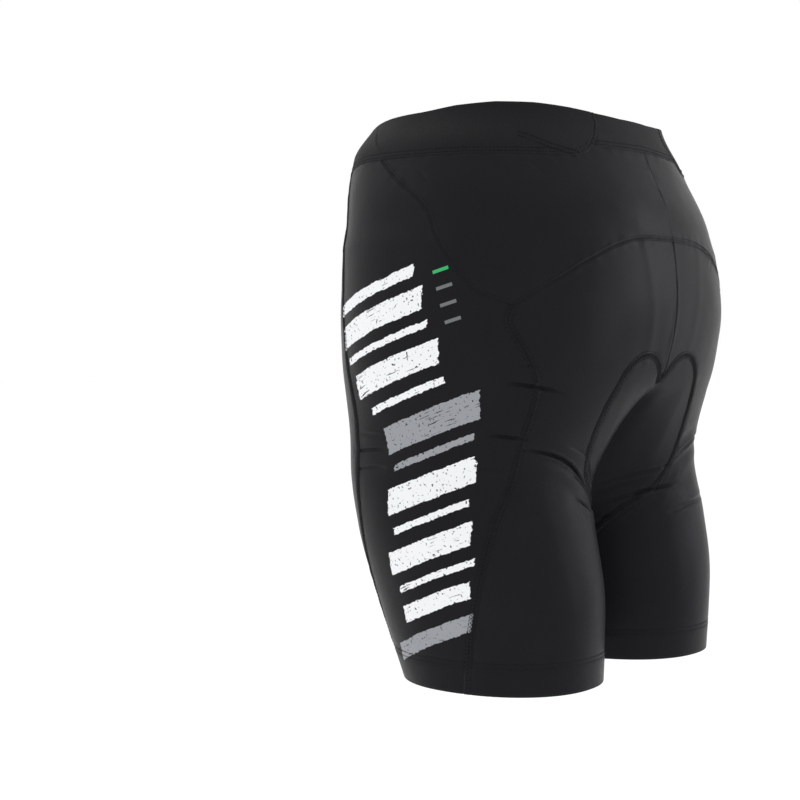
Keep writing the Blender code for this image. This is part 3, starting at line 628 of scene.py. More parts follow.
def fold_lines():
    lines = []
    for fold in FOLDS:
        share = np.linspace(0, 1, FOLD_STEPS)
        turn = np.radians(fold.turn_from + (fold.turn_to - fold.turn_from) * share)
        height = fold.height_from + (fold.height_to - fold.height_from) * share
        height = height + fold.bow * MM * np.sin(math.pi * share)
        ends = CREASE_END if fold.width < CREASE_WIDTH else FOLD_END
        fade = np.sin(math.pi * (ends + (1 - 2 * ends) * share)) ** FADE_POWER
        lines.append((around(turn, height), fade, fold))
    return lines


def fold_height(p):
    """Height in mm that the folds add at points of the form."""
    total = np.zeros(len(p))
    for line, fade, fold in FOLD_LINES:
        for side in (LEFT, RIGHT):
            if fold.side not in (BOTH, side):
                continue
            lay = on_side(line, side)
            reach = FOLD_REACH * fold.width * MM
            close = np.all((p > lay.min(0) - reach) & (p < lay.max(0) + reach), axis=1)
            if not close.any():
                continue
            gap, share = stretch_gaps(p[close], lay)
            near = np.argmin(gap, axis=1)
            rows = np.arange(len(gap))
            strength = fade[near] + (fade[near + 1] - fade[near]) * share[rows, near]
            d = gap[rows, near] / MM / fold.width
            if fold.width < CREASE_WIDTH:
                shape = summed(CREASE_FORM, d / CREASE_NARROW)
                total[close] -= CREASE_DEPTH * fold.depth * strength * shape
            else:
                total[close] -= fold.depth * strength * np.exp(-d * d)
    return total


def wander(p, waves):
    """Smooth uneven heights, the sum of waves of several sizes."""
    return sum(np.array([noise.noise(v) for v in (p / w.size + w.seed).tolist()]) * w.rise for w in waves)


def cleft_depth(p):
    """Depth in mm of the cleft down the middle of the back and crotch."""
    heights, depths = np.transpose(CLEFT)
    depth = np.interp(p[:, 2], heights, depths) * np.clip((p[:, 1] + CLEFT_FRONT) / CLEFT_FRONT, 0, 1)
    across = np.abs(p[:, 0]) / MM
    slope = np.clip(1 - across / CLEFT_HALF_WIDTH, 0, 1)
    return CLEFT_DEPTH * depth * (CLEFT_OPEN * slope ** 1.5 + CLEFT_TIGHT * bell(across, CLEFT_TIGHT_WIDTH))


def shared_height(p, seam_gap):
    """Heights in mm that depend on the place alone, so that neighbours meet."""
    pucker = wander(p, PUCKER_WAVES) * bell(seam_gap, PUCKER_REACH)
    return fold_height(p) + pucker + wander(p, CLOTH_WAVES) - cleft_depth(p)


def hem_height(p):
    """The two rows of hem stitching press the cloth in, and its turned depth stands out a little."""
    above = (p[:, 2] - HEM_LINE) / MM
    return summed(HEM_FORM, above) + HEM_STEP / (1 + np.exp(above / HEM_STEP_WIDTH))


def wall_of(p):
    """Thickness in metres of a leg piece, more where its hem is turned."""
    in_hem = np.clip((HEM_HEIGHT + HEM_DEPTH + 0.001 - p[:, 2]) / 0.002, 0, 1)
    return CLOTH + (HEM_CLOTH - CLOTH) * in_hem


# Cutting a piece: its outline, the points laid on it, and the closed wall of cloth

def closed_outline(lines):
    """One outline from (line, kind) pairs that share their ends, and the kind of each stretch."""
    points = np.vstack([line[:-1] for line, _ in lines])
    kinds = np.concatenate([np.full(len(line) - 1, kind) for line, kind in lines])
    return points, kinds


def flat_area(flat):
    ahead = np.roll(flat, -1, axis=0)
    return (flat[:, 0] * ahead[:, 1] - ahead[:, 0] * flat[:, 1]).sum() / 2


def edge_way(points, out):
    """The way inwards along the surface at each point of an outline."""
    before = unit(points - np.roll(points, 1, axis=0))
    after = unit(np.roll(points, -1, axis=0) - points)
    way = np.cross(out, before) + np.cross(out, after)
    return way * (2 / np.maximum((way ** 2).sum(1, keepdims=True), CORNER_LIMIT))


def thinned(points, cell):
    keys = np.floor(points / cell).astype(int)
    _, first = np.unique(keys, axis=0, return_index=True)
    return points[np.sort(first)]


def offset_line(line, distance):
    """The line moved sideways along the form, to the left of its run as seen from outside."""
    out = normals(line)
    way = unit(np.cross(out, np.gradient(line, axis=0)))
    return settle(line + way * distance)


def crease_points():
    """Rows of points along every fine crease, all laid on the left side, so that each bends sharply."""
    rows = []
    for line, _, fold in FOLD_LINES:
        if fold.width < CREASE_WIDTH:
            rows += [offset_line(spaced(line, CREASE_STEP), share * fold.width * MM) for share in CREASE_ROWS]
    return np.vstack(rows)


# A cut piece before it gets its thickness: its first points, as many as count, are its outline
Blank = namedtuple("Blank", "flat base out faces gaps count")


def lay_out(lines, space, step, rows_at=()):
    """Points of a piece on the form, denser by its edges, and the triangles between them."""
    outline, kinds = closed_outline(lines)
    drawn_flat = outline.shape[1] == 2
    flat_edge = outline if drawn_flat else space.flat(outline)
    if flat_area(flat_edge) < 0:
        outline, flat_edge, kinds = outline[::-1], flat_edge[::-1], np.roll(kinds[::-1], -1)
    loop = [closed(outline)]
    if drawn_flat:
        level = np.pad(outline, ((0, 0), (0, 1)))
        way = edge_way(level, np.broadcast_to([0.0, 0.0, 1.0], level.shape))[:, :2]
    else:
        way = edge_way(outline, normals(outline))
    rings = []
    for distance in RINGS:
        ring = outline + way * distance
        ring = ring if drawn_flat else settle(ring)
        rings.append(ring[gap_to(ring, loop) > distance * RING_KEEP])
    if not drawn_flat:
        creases = CREASE_POINTS[is_inside(space.flat(CREASE_POINTS), flat_edge)]
        rings.append(creases[gap_to(creases, loop) > CREASE_CLEAR])
    rings = thinned(np.vstack(rings), RING_CELL)
    flat_rings = rings if drawn_flat else space.flat(rings)
    if drawn_flat:
        outline = space.lift(outline)
        rings = space.lift(rings)
        loop = [closed(outline)]
    low = flat_edge.min(0)
    high = flat_edge.max(0)
    heights = list(np.arange(low[1], high[1], step * ROW_SHARE))
    heights = [h for h in heights if all(abs(h - fixed) > step * CLEAR_SHARE for fixed in rows_at)]
    lattice = []
    columns = int((high[0] - low[0]) / step) + 2
    for k, height in enumerate(sorted(heights + list(rows_at))):
        shift = 0.5 if k % 2 else 0
        lattice += [(low[0] + (i + shift) * step, height) for i in range(columns)]
    lattice = np.array(lattice)
    lattice = lattice[is_inside(lattice, flat_edge)]
    laid = space.lift(lattice)
    clear = gap_to(laid, loop) > RINGS[-1] + step * CLEAR_SHARE
    base = np.vstack([outline, rings, laid[clear]])
    flat = np.vstack([flat_edge, flat_rings, lattice[clear]])
    return triangulate(flat, flat_edge, base, outline, kinds)


def triangulate(flat, flat_edge, base, outline, kinds):
    """Joins the laid points into triangles and measures how far each is from each kind of edge."""
    count = len(outline)
    loop = [(i, (i + 1) % count) for i in range(count)]
    result = delaunay_2d_cdt(flat.tolist(), loop, [], 0, 1e-9, True)
    origin = np.array([rows[0] for rows in result[3]])
    faces = origin[np.array(result[2])]
    faces = faces[is_inside(flat[faces].mean(1), flat_edge)]
    out = normals(base)
    a, b, c = (base[faces[:, k]] for k in range(3))
    turned = (np.cross(b - a, c - a) * out[faces[:, 0]]).sum(1) < 0
    faces[turned] = faces[turned][:, [0, 2, 1]]
    gaps = {}
    around_edge = closed(outline)
    for kind in np.unique(kinds):
        lines = [around_edge[i:i + 2] for i in np.flatnonzero(kinds == kind)]
        gaps[int(kind)] = gap_to(base, chained(lines)) / MM
    return Blank(flat, base, out, faces, gaps, count)


def chained(stretches):
    """Joins stretches that follow on from each other into longer lines."""
    lines = [stretches[0]]
    for stretch in stretches[1:]:
        if np.allclose(lines[-1][-1], stretch[0]):
            lines[-1] = np.vstack([lines[-1], stretch[1:]])
        else:
            lines.append(stretch)
    return lines


def mirrored(blank):
    return Blank(blank.flat * MIRROR[:2], blank.base * MIRROR, blank.out * MIRROR, blank.faces[:, [0, 2, 1]],
                 blank.gaps, blank.count)


def sewn_gap(gaps, size):
    sewn = [gaps[kind] for kind in gaps if kind != RAW]
    return np.min(sewn, axis=0) if sewn else np.full(size, FAR)


def stand(name, data):
    """Puts a mesh, a light or the camera into the scene."""
    made = bpy.data.objects.new(name, data)
    bpy.context.scene.collection.objects.link(made)
    return made


def new_mesh(name, points, faces):
    data = bpy.data.meshes.new(name)
    data.from_pydata(points.tolist(), [], faces.tolist())
    data.shade_smooth()
    return stand(name, data)


def wall_mesh(name, blank, top, low):
    """A closed wall between two layers of points, with its flat pattern as a map."""
    size = len(top)
    edge = np.arange(blank.count)
    ahead = (edge + 1) % blank.count
    inner = blank.faces[:, ::-1] + size
    rim_a = np.stack([edge, edge + size, ahead + size], -1)
    rim_b = np.stack([edge, ahead + size, ahead], -1)
    if not edge_runs_ahead(blank):
        rim_a, rim_b = rim_a[:, ::-1], rim_b[:, ::-1]
    piece = new_mesh(name, np.vstack([top, low]), np.vstack([blank.faces, inner, rim_a, rim_b]))
    corners = np.zeros(len(piece.data.loops), int)
    piece.data.loops.foreach_get("vertex_index", corners)
    spread = np.vstack([blank.flat, blank.flat])[corners]
    piece.data.uv_layers.new(name="cut").data.foreach_set("uv", spread.astype(np.float32).ravel())
    return piece


def edge_runs_ahead(blank):
    """Whether the triangles on the edge use it in the same direction as the outline."""
    pairs = np.vstack([blank.faces[:, [0, 1]], blank.faces[:, [1, 2]], blank.faces[:, [2, 0]]])
    return bool(np.any((pairs[:, 0] == 0) & (pairs[:, 1] == 1)))


def cut_cloth(name, blank, wall, raised=0.0, hemmed=True):
    """A panel: outer and inner faces with folds, seams and rounded raw edges."""
    p, out, gaps = blank.base, blank.out, blank.gaps
    near = sewn_gap(gaps, len(p))
    height = shared_height(p, near) + raised
    bulk = np.zeros(len(p))
    for kind, gap in gaps.items():
        height += seam_height(kind, gap)
        bulk += seam_bulk(kind, gap)
    if hemmed:
        height += hem_height(p)
    thickness = wall / MM + bulk
    for kind in (RAW, BAND_FOOT, LAP):
        if kind in gaps:
            turn = roll(gaps[kind], thickness)
            height -= turn
            thickness -= 2 * turn
    surface = p + out * (height * MM)[:, None]
    rim = slice(0, blank.count)
    inwards = 1 if edge_runs_ahead(blank) else -1
    tuck = edge_way(surface[rim], out[rim]) * inwards * SEAM_TUCK
    surface[rim] -= tuck * (near[rim, None] < SEWN_WITHIN)
    under = surface - out * (thickness * MM)[:, None]
    return wall_mesh(name, blank, surface, under)


# Stitches

STITCH = 2.8 * MM
STITCH_GAP = 0.08
THREAD = 0.24 * MM
THREAD_ARCH = 0.9
THREAD_LIFT = 0.10
THREAD_SHAPE = ((0.0, 0.30), (0.16, 0.85), (0.5, 1.0), (0.84, 0.85), (1.0, 0.30))
THREAD_SIDES = 6
COVER_OFFSET = 1.9
COVER_GAP = 1.4


def thread_mesh(starts, ends, outs):
    """Points and faces of short rounded lengths of thread that arch a little off the cloth."""
    along = ends - starts
    side = unit(np.cross(outs, along))
    rings = []
    for share, girth in THREAD_SHAPE:
        middle = starts + along * share + outs * (THREAD * THREAD_ARCH * math.sin(math.pi * share))
        for k in range(THREAD_SIDES):
            turn = 2 * math.pi * k / THREAD_SIDES
            rings.append(middle + (side * math.cos(turn) + outs * math.sin(turn)) * THREAD * girth)
    points = np.stack(rings, axis=1)
    faces = []
    last = (len(THREAD_SHAPE) - 1) * THREAD_SIDES
    for ring in range(0, last, THREAD_SIDES):
        for k in range(THREAD_SIDES):
            a = ring + k
            b = ring + (k + 1) % THREAD_SIDES
            faces += [(a, b, b + THREAD_SIDES), (a, b + THREAD_SIDES, a + THREAD_SIDES)]
    for k in range(1, THREAD_SIDES - 1):
        faces += [(0, k + 1, k), (last, last + k, last + k + 1)]
    steps = np.arange(len(starts))[:, None, None] * points.shape[1]
    return points.reshape(-1, 3), (np.array(faces)[None] + steps).reshape(-1, 3)


def laid_at(kind, gap, raised=0.0):
    """How high in mm a thread lies at a distance in mm from an edge."""
    return lambda p: shared_height(p, gap) + seam_height(kind, gap) + raised + THREAD_LIFT


def lifted(line, height):
    return line + normals(line) * (height(line) * MM)[:, None]


def needle_row(line, height):
    """A row of stitches along a line on the cloth, each a little shorter than its step."""
    marks = spaced(line, STITCH)
    laid = lifted(marks, height)
    gap = (laid[1:] - laid[:-1]) * STITCH_GAP
    return laid[:-1] + gap, laid[1:] - gap, normals(marks)[:-1]


def cover_rows(left, right, height):
    """Slanting threads that cross a flatlock join from one needle row to the other."""
    even = [evenly(line, len(spaced(left, STITCH))) for line in (left, right)]
    near, far = (lifted(line, height) for line in even)
    out = normals(settle((even[0] + even[1]) / 2))[:-1]
    return [(near[:-1], far[1:], out), (far[:-1], near[:-1] * 0.5 + near[1:] * 0.5, out)]


def stitch_piece(name, rows):
    """One piece of many stitches: each row gives where its threads start and end, and the way out."""
    piece = new_mesh(name, *thread_mesh(*(np.vstack(part) for part in zip(*rows))))
    piece.data.materials.append(THREAD_PAINT)
    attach(piece, "root")


def flatlock_rows(line):
    needles = [offset_line(line, side * NEEDLE_OFFSET * MM) for side in (1, -1)]
    cover = [offset_line(line, side * COVER_OFFSET * MM) for side in (1, -1)]
    rows = [needle_row(needle, laid_at(FLATLOCK, NEEDLE_OFFSET)) for needle in needles]
    return rows + cover_rows(*cover, laid_at(FLATLOCK, COVER_GAP))


def single_row(line, distance, kind, raised=0.0):
    return [needle_row(offset_line(line, distance * MM), laid_at(kind, abs(distance), raised))]


def hem_rows(side):
    def height(p):
        return shared_height(p, FAR) + hem_height(p) + THREAD_LIFT

    turns = np.radians(np.linspace(0, 360, 241))
    lines = [around(turns, np.full(turns.shape, HEM_LINE + above * MM)) for above in (-HEM_ROW, HEM_ROW)]
    return [needle_row(on_side(line, side), height) for line in lines]


# Shader sums

class Wire:
    """A shader socket that can be used in sums: each sum adds its Math node."""

    def __init__(self, paint, socket):
        self.paint = paint
        self.socket = socket

    def math(self, operation, *values):
        return self.paint.node("ShaderNodeMath", {"operation": operation}, dict(enumerate(values)))

    def __add__(self, other):
        return self.math("ADD", self, other)

    def __sub__(self, other):
        return self.math("SUBTRACT", self, other)

    def __rsub__(self, other):
        return self.math("SUBTRACT", other, self)

    def __mul__(self, other):
        return self.math("MULTIPLY", self, other)

    def __truediv__(self, other):
        return self.math("DIVIDE", self, other)

    def __rtruediv__(self, other):
        return self.math("DIVIDE", other, self)

    def __gt__(self, other):
        return self.math("GREATER_THAN", self, other)

    def __lt__(self, other):
        return self.math("LESS_THAN", self, other)

    def __abs__(self):
        return self.math("ABSOLUTE", self)

    __radd__ = __add__
    __rmul__ = __mul__

    def sine(self):
        return self.math("SINE", self)

    def fraction(self):
        return self.math("FRACT", self)


class Paint:
    """One finish: a material whose shader is fed by wires."""

    def __init__(self, name, **fixed):
        self.material = bpy.data.materials.new(name)
        self.material.use_nodes = True
        self.tree = self.material.node_tree
        self.shader = self.tree.nodes["Principled BSDF"]
        for socket, value in fixed.items():
            self.shader.inputs[socket.replace("_", " ")].default_value = value

    def node(self, kind, settings, values, output=0):
        made = self.tree.nodes.new(kind)
        for key, value in settings.items():
            if key == "stops":
                self.set_stops(made.color_ramp, value)
            else:
                setattr(made, key, value)
        for key, value in values.items():
            if isinstance(value, Wire):
                self.tree.links.new(value.socket, made.inputs[key])
            else:
                made.inputs[key].default_value = value
        return Wire(self, made.outputs[output])

    def set_stops(self, ramp, stops):
        ramp.interpolation = "CONSTANT"
        while len(ramp.elements) < len(stops):
            ramp.elements.new(0.5)
        for element, (place, value) in zip(ramp.elements, stops):
            element.position = place
            element.color = (value, value, value, 1)

    def place(self):
        return self.node("ShaderNodeTexCoord", {}, {}, "Object")

    def cut(self):
        """Flat pattern coordinates in metres, across and up."""
        flat = self.node("ShaderNodeUVMap", {"uv_map": "cut"}, {})
        split = self.node("ShaderNodeSeparateXYZ", {}, {0: flat})
        return split, Wire(self, split.socket.node.outputs[1])

    def grain(self, scale, detail=2.0, at=None):
        values = {"Vector": at or self.place(), "Scale": scale, "Detail": detail}
        return self.node("ShaderNodeTexNoise", {}, values)

    def blend(self, share, first, second):
        return self.node("ShaderNodeMix", {"data_type": "RGBA"}, {0: share, 6: first, 7: second}, 2)

    def worn(self):
        return self.node("ShaderNodeAttribute", {"attribute_name": "worn"}, {}, "Fac")

    def finish(self, colour, rough, height, distance, strength):
        """Feeds the shader its colour, its roughness and a relief, and gives back the material."""
        values = {"Height": height, "Distance": distance, "Strength": strength}
        relief = self.node("ShaderNodeBump", {}, values)
        for socket, wire in (("Base Color", colour), ("Roughness", rough), ("Normal", relief)):
            self.tree.links.new(wire.socket, self.shader.inputs[socket])
        return self.material


def shade(tone):
    """A near-black or grey that leans a little to blue."""
    return (tone, tone, tone * 1.14, 1)


WALE, COURSE = 0.78 * MM, 0.62 * MM
BAND_RIB, BAND_WEFT = 1.15 * MM, 0.8 * MM
FULL_TURN = 2 * math.pi
DARKEST, LIGHTEST = 0.82, 1.45


def knit_height(across, up):
    """Small V stitches in columns."""
    slope = abs((across * (1 / WALE)).fraction() - 0.5)
    ridge = (up * (FULL_TURN / COURSE) + slope * FULL_TURN).sine()
    return ridge * 0.35 - slope * 1.1


def knit_paint(name, tone, printed=False):
    paint = Paint(name, Roughness=0.4, Specular_IOR_Level=0.05)
    across, up = paint.cut()
    cloudy = paint.grain(26.0, 4.0)
    fine = paint.grain(900.0, 1.0)
    worn = paint.worn()
    share = cloudy * 0.55 + fine * 0.25 + worn * 0.5
    colour = paint.blend(share, shade(tone * DARKEST), shade(tone * LIGHTEST))
    rough = cloudy * 0.05 + 0.285 + worn * 0.10
    height = knit_height(across, up) + fine * 0.5
    if printed:
        colour, ink = add_print(paint, across, up, colour)
        rough = rough + ink * 0.08
        height = height * (1 - ink * 0.55) + ink * 1.2
    return paint.finish(colour, rough, height, 0.10 * MM, 0.55)


Bar = namedtuple("Bar", "top bottom turn_from turn_to tone")
WHITE, GREY = 1.0, 0.5
BARS = table(
    Bar,
    (-0.122, -0.131, 42, 94, WHITE), (-0.140, -0.156, 44, 99, WHITE), (-0.165, -0.170, 49, 101, WHITE),
    (-0.180, -0.197, 54, 106, WHITE), (-0.207, -0.212, 62, 108, WHITE), (-0.224, -0.244, 70, 124, GREY),
    (-0.253, -0.258, 75, 121, GREY), (-0.270, -0.288, 70, 121, WHITE), (-0.298, -0.303, 73, 118, WHITE),
    (-0.314, -0.331, 68, 119, WHITE), (-0.341, -0.346, 73, 121, WHITE), (-0.356, -0.368, 74, 119, WHITE),
    (-0.379, -0.392, 62, 123, GREY))
BAR_SLOPE = 0.30
PRINT_TOP, PRINT_BOTTOM = -0.10, -0.42
SIDE_MIDDLE_TURN = 85
INK_WHITE = (0.87, 0.88, 0.89, 1)
INK_GREY = (0.30, 0.31, 0.33, 1)
INK_GREEN = (0.05, 0.42, 0.14, 1)
DASH_TOP, DASH_BOTTOM, DASH_TURN = -0.121, -0.1625, 107
DASH_STEP, DASH_SHARE = 0.0125, 0.20
DASH_SLANT = 0.28
DASH_HALF_LENGTH = 0.0065
DASH_GREY = (0.16, 0.17, 0.17, 1)
RUBBED_WHITE = (0.70, 0.71, 0.72, 1)
STREAK_ACROSS, STREAK_DOWN = 55.0, 850.0
RUBBED_ABOVE = 0.535
SPECK_BELOW = 0.34


def bar_stops(read):
    """Stops down the print: a value within each bar, and 0 between them."""
    span = PRINT_TOP - PRINT_BOTTOM
    stops = [(0.0, 0.0)]
    for bar in BARS:
        stops += [((PRINT_TOP - bar.top) / span, read(bar)), ((PRINT_TOP - bar.bottom) / span, 0.0)]
    return stops


def add_print(paint, across, up, cloth):
    """Worn slanting bars, rubbed away in fine streaks, and four short dashes behind them."""
    fine_edge = paint.grain(420.0, 3.0) - 0.5
    broad_edge = paint.grain(70.0, 2.0) - 0.5
    depth = PRINT_TOP - up + across * BAR_SLOPE
    row = (depth + fine_edge * 0.0026 + broad_edge * 0.0020) * (1 / (PRINT_TOP - PRINT_BOTTOM))

    def ramp(read):
        return paint.node("ShaderNodeValToRGB", {"stops": bar_stops(read)}, {0: row})

    left = ramp(lambda bar: bar.turn_from / 180)
    right = ramp(lambda bar: bar.turn_to / 180)
    tone = ramp(lambda bar: bar.tone)
    turn = (across / PATTERN_RADIUS + math.radians(SIDE_MIDDLE_TURN)) * (1 / math.pi)
    ragged = fine_edge * 0.022 + broad_edge * 0.020
    inside = (turn + ragged > left) * (turn - ragged < right)
    lengthways = paint.node("ShaderNodeCombineXYZ", {}, {0: across * STREAK_ACROSS, 1: depth * STREAK_DOWN})
    rubbed = paint.grain(1.0, 3.0, lengthways)
    patchy = paint.grain(34.0, 3.0)
    specks = paint.grain(520.0, 2.0)
    sound = (rubbed + patchy * 0.45 > RUBBED_ABOVE) * (specks > SPECK_BELOW)
    ink = inside * (tone > 0.1) * sound
    beside = across - math.radians(DASH_TURN - SIDE_MIDDLE_TURN) * PATTERN_RADIUS
    dash_side = abs(beside + (up - DASH_TOP) * DASH_SLANT) < DASH_HALF_LENGTH
    dash_row = ((DASH_TOP - up + beside * BAR_SLOPE) * (1 / DASH_STEP)).fraction() < DASH_SHARE
    dash = dash_side * dash_row * (up < DASH_TOP + 0.004) * (up > DASH_BOTTOM)
    white = paint.blend(patchy * 0.35, INK_WHITE, RUBBED_WHITE)
    bars = paint.blend(tone > 0.75, INK_GREY, white)
    marks = paint.blend(up > DASH_TOP - 0.008, DASH_GREY, INK_GREEN)
    colour = paint.blend(ink, cloth, bars)
    return paint.blend(dash, colour, marks), ink


def band_paint():
    paint = Paint("elastic_band_knit", Roughness=0.6, Specular_IOR_Level=0.10)
    across, up = paint.cut()
    cloudy = paint.grain(30.0, 4.0)
    fine = paint.grain(800.0, 1.0)
    colour = paint.blend(cloudy * 0.6 + paint.worn() * 0.5, shade(0.0068), shade(0.0115))
    rib = (across * (FULL_TURN / BAND_RIB)).sine()
    weft = (up * (FULL_TURN / BAND_WEFT)).sine()
    return paint.finish(colour, cloudy * 0.1 + 0.55, rib * 0.6 + weft * 0.3 + fine * 0.5, 0.12 * MM, 0.6)


def thread_paint():
    paint = Paint("black_sewing_thread", Roughness=0.5, Specular_IOR_Level=0.10)
    twist = paint.grain(2600.0, 1.0)
    colour = paint.blend(twist, shade(0.0076), shade(0.0130))
    return paint.finish(colour, twist * 0.2 + 0.35, twist, 0.05 * MM, 0.6)


def foam_paint():
    paint = Paint("brushed_pad_cloth", Roughness=0.8, Specular_IOR_Level=0.2, Sheen_Weight=0.12,
                  Sheen_Roughness=0.6)
    cloudy = paint.grain(40.0, 4.0)
    fluff = paint.grain(1500.0, 3.0)
    base = paint.blend(cloudy * 0.6 + fluff * 0.4, shade(0.030), shade(0.055))
    colour = paint.blend(paint.worn(), base, shade(0.105))
    return paint.finish(colour, fluff * 0.15 + 0.72, fluff, 0.15 * MM, 0.7)


KNIT_PAINT = knit_paint("black_stretch_knit", 0.0100)
SIDE_PAINT = knit_paint("printed_stretch_knit", 0.0098, printed=True)
SADDLE_PAINT = knit_paint("saddle_stretch_knit", 0.0096)
BAND_PAINT = band_paint()
THREAD_PAINT = thread_paint()
FOAM_PAINT = foam_paint()

SADDLE_SPACE = Saddle()
FOLD_LINES = fold_lines()
CREASE_POINTS = crease_points()
SEAMS = make_seams()
HEM_ROWS = tuple(HEM_LINE + mm * MM for mm in (-4.0, -2.4, -1.6, -0.8, 0, 0.8, 1.6, 2.4, 4.0))


def mirror_line(line):
    return line[::-1] * MIRROR[:line.shape[1]]


def both_sides(lines):
    """The lines of a left half, which starts and ends on the middle, and their mirror images."""
    return lines + [(mirror_line(line), kind) for line, kind in lines[::-1]]


def finish_cloth(piece, paint, node, worn):
    """Gives a piece its finish and its place in the frame."""
    piece.data.materials.append(paint)
    layer = piece.data.attributes.new("worn", "FLOAT", "POINT")
    layer.data.foreach_set("value", np.concatenate([worn, worn]).astype(np.float32))
    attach(piece, "root")
    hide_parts(node)


def worn_share(blank):
    """Wear and lint that gather by the seams and on the raw edges."""
    near = sewn_gap(blank.gaps, len(blank.base))
    share = summed(SEAM_WEAR, near)
    if RAW in blank.gaps:
        share = share + summed(EDGE_WEAR, blank.gaps[RAW])
    return np.clip(share + wander(blank.base, WEAR_WAVES), 0, 1)


# Each cut before it is stretched, in metres, with hems unfolded and without sewing allowances
Cut = namedtuple("Cut", "width length area")
BAND_FRONT_CUT = Cut(0.602, 0.074, 0.0242)
BAND_BACK_CUT = Cut(0.105, 0.028, 0.0024)
YOKE_CUT = Cut(0.200, 0.116, 0.0155)
SIDE_CUT = Cut(0.144, 0.398, 0.0431)
FRONT_CUT = Cut(0.154, 0.395, 0.0503)
BACK_CUT = Cut(0.190, 0.353, 0.0411)


def band_feet():
    """Lower edges of the bands, a little over the panels below: lap, front foot and back foot."""
    foot = [SEAMS["lap_lower"]] + [SEAMS["band_" + part][::-1] for part in ("yoke", "side", "front")]
    whole = np.vstack([SEAMS["lap_upper"][:-1]] + [line[:-1] for line in foot[:-1]] + [foot[-1]])
    whole = offset_line(whole, FOOT_LAP * MM)
    back = offset_line(SEAMS["band_back"], -FOOT_LAP * MM)
    whole[-1, 0] = back[-1, 0] = 0.0
    corner = len(SEAMS["lap_upper"]) - 1
    return whole[:corner + 1], whole[corner:], back


def make_bands():
    lap, foot, back_foot = band_feet()
    front = [(SEAMS["top_front"], RAW), (lap, LAP), (foot, BAND_FOOT)]
    back = [(SEAMS["top_back"][::-1], RAW), (SEAMS["lap_upper"], UNDER_BAND), (back_foot, BAND_FOOT)]
    for name, half, middle, raised, cut in (("waistband_front", front, 0, BAND_FRONT_RISE, BAND_FRONT_CUT),
                                            ("waistband_back", back, 180, BAND_BACK_RISE, BAND_BACK_CUT)):
        blank = lay_out(both_sides(half), Cylinder(MIDDLE_AXIS, middle), BAND_GRID)
        wall = np.full(len(blank.base), BAND_CLOTH)
        piece = cut_cloth(name + "_cloth", blank, wall, raised, hemmed=False)
        finish_cloth(piece, BAND_PAINT, name, worn_share(blank))


def make_panels():
    """Yokes, sides, fronts and backs: the left one of each, and its mirror image."""
    s = SEAMS
    yoke = [(s["diagonal"], PLAIN), (s["yoke"], PLAIN), (s["yoke_middle"][::-1], PRESSED),
            (s["band_back"][::-1], UNDER_BAND), (s["lap_lower"], UNDER_BAND),
            (s["band_yoke"][::-1], UNDER_BAND)]
    side = [(s["front_side"], FLATLOCK), (s["hem_side"], RAW), (s["side_back"][::-1], FLATLOCK),
            (s["diagonal"][::-1], PLAIN), (s["band_side"][::-1], UNDER_BAND)]
    front = [(s["front_middle"], PLAIN), (s["saddle_front"][::-1], FLATLOCK), (s["inseam"], FLATLOCK),
             (s["hem_front"], RAW), (s["front_side"][::-1], FLATLOCK), (s["band_front"][::-1], UNDER_BAND)]
    back = [(s["side_back"], FLATLOCK), (s["hem_back"], RAW), (s["inseam"][::-1], FLATLOCK),
            (s["saddle_back"][::-1], FLATLOCK), (s["back_middle"][::-1], PLAIN), (s["yoke"][::-1], PLAIN)]
    # Name, edges, turn of the middle, mm between points, rows of points kept for the hem, cut, slot
    panels = [
        ("yoke", yoke, 150, 3.4, (), YOKE_CUT, "black_knit"),
        ("side", side, SIDE_MIDDLE_TURN, 3.6, HEM_ROWS, SIDE_CUT, "side_knit"),
        ("front", front, -20, 3.6, HEM_ROWS, FRONT_CUT, "black_knit"),
        ("back", back, 185, 2.7, HEM_ROWS, BACK_CUT, "black_knit"),
    ]
    for name, lines, middle, step, rows, cut, slot in panels:
        left = lay_out(lines, Cylinder(LEG_AXIS, middle), step * MM, rows)
        for side_name, blank in (("left", left), ("right", mirrored(left))):
            node = name + "_" + side_name
            piece = cut_cloth(node + "_cloth", blank, wall_of(blank.base))
            paint = SIDE_PAINT if node == "side_left" else KNIT_PAINT
            finish_cloth(piece, paint, node, worn_share(blank))


def make_saddle():
    left = [(saddle_edge(SADDLE_BACK), FLATLOCK), (saddle_edge(SADDLE_FRONT), FLATLOCK)]
    blank = lay_out(both_sides(left), SADDLE_SPACE, SADDLE_GRID)
    piece = cut_cloth("saddle_gusset_cloth", blank, wall_of(blank.base))
    finish_cloth(piece, SADDLE_PAINT, "saddle_gusset", worn_share(blank))


# Two slanting rows by the end of the lap, in turns about the leg and heights
LAP_ROWS = [[(147, -0.0250), (165, -0.0332), (179, -0.0383)],
            [(148, -0.0219), (166, -0.0301), (182, -0.0352)]]


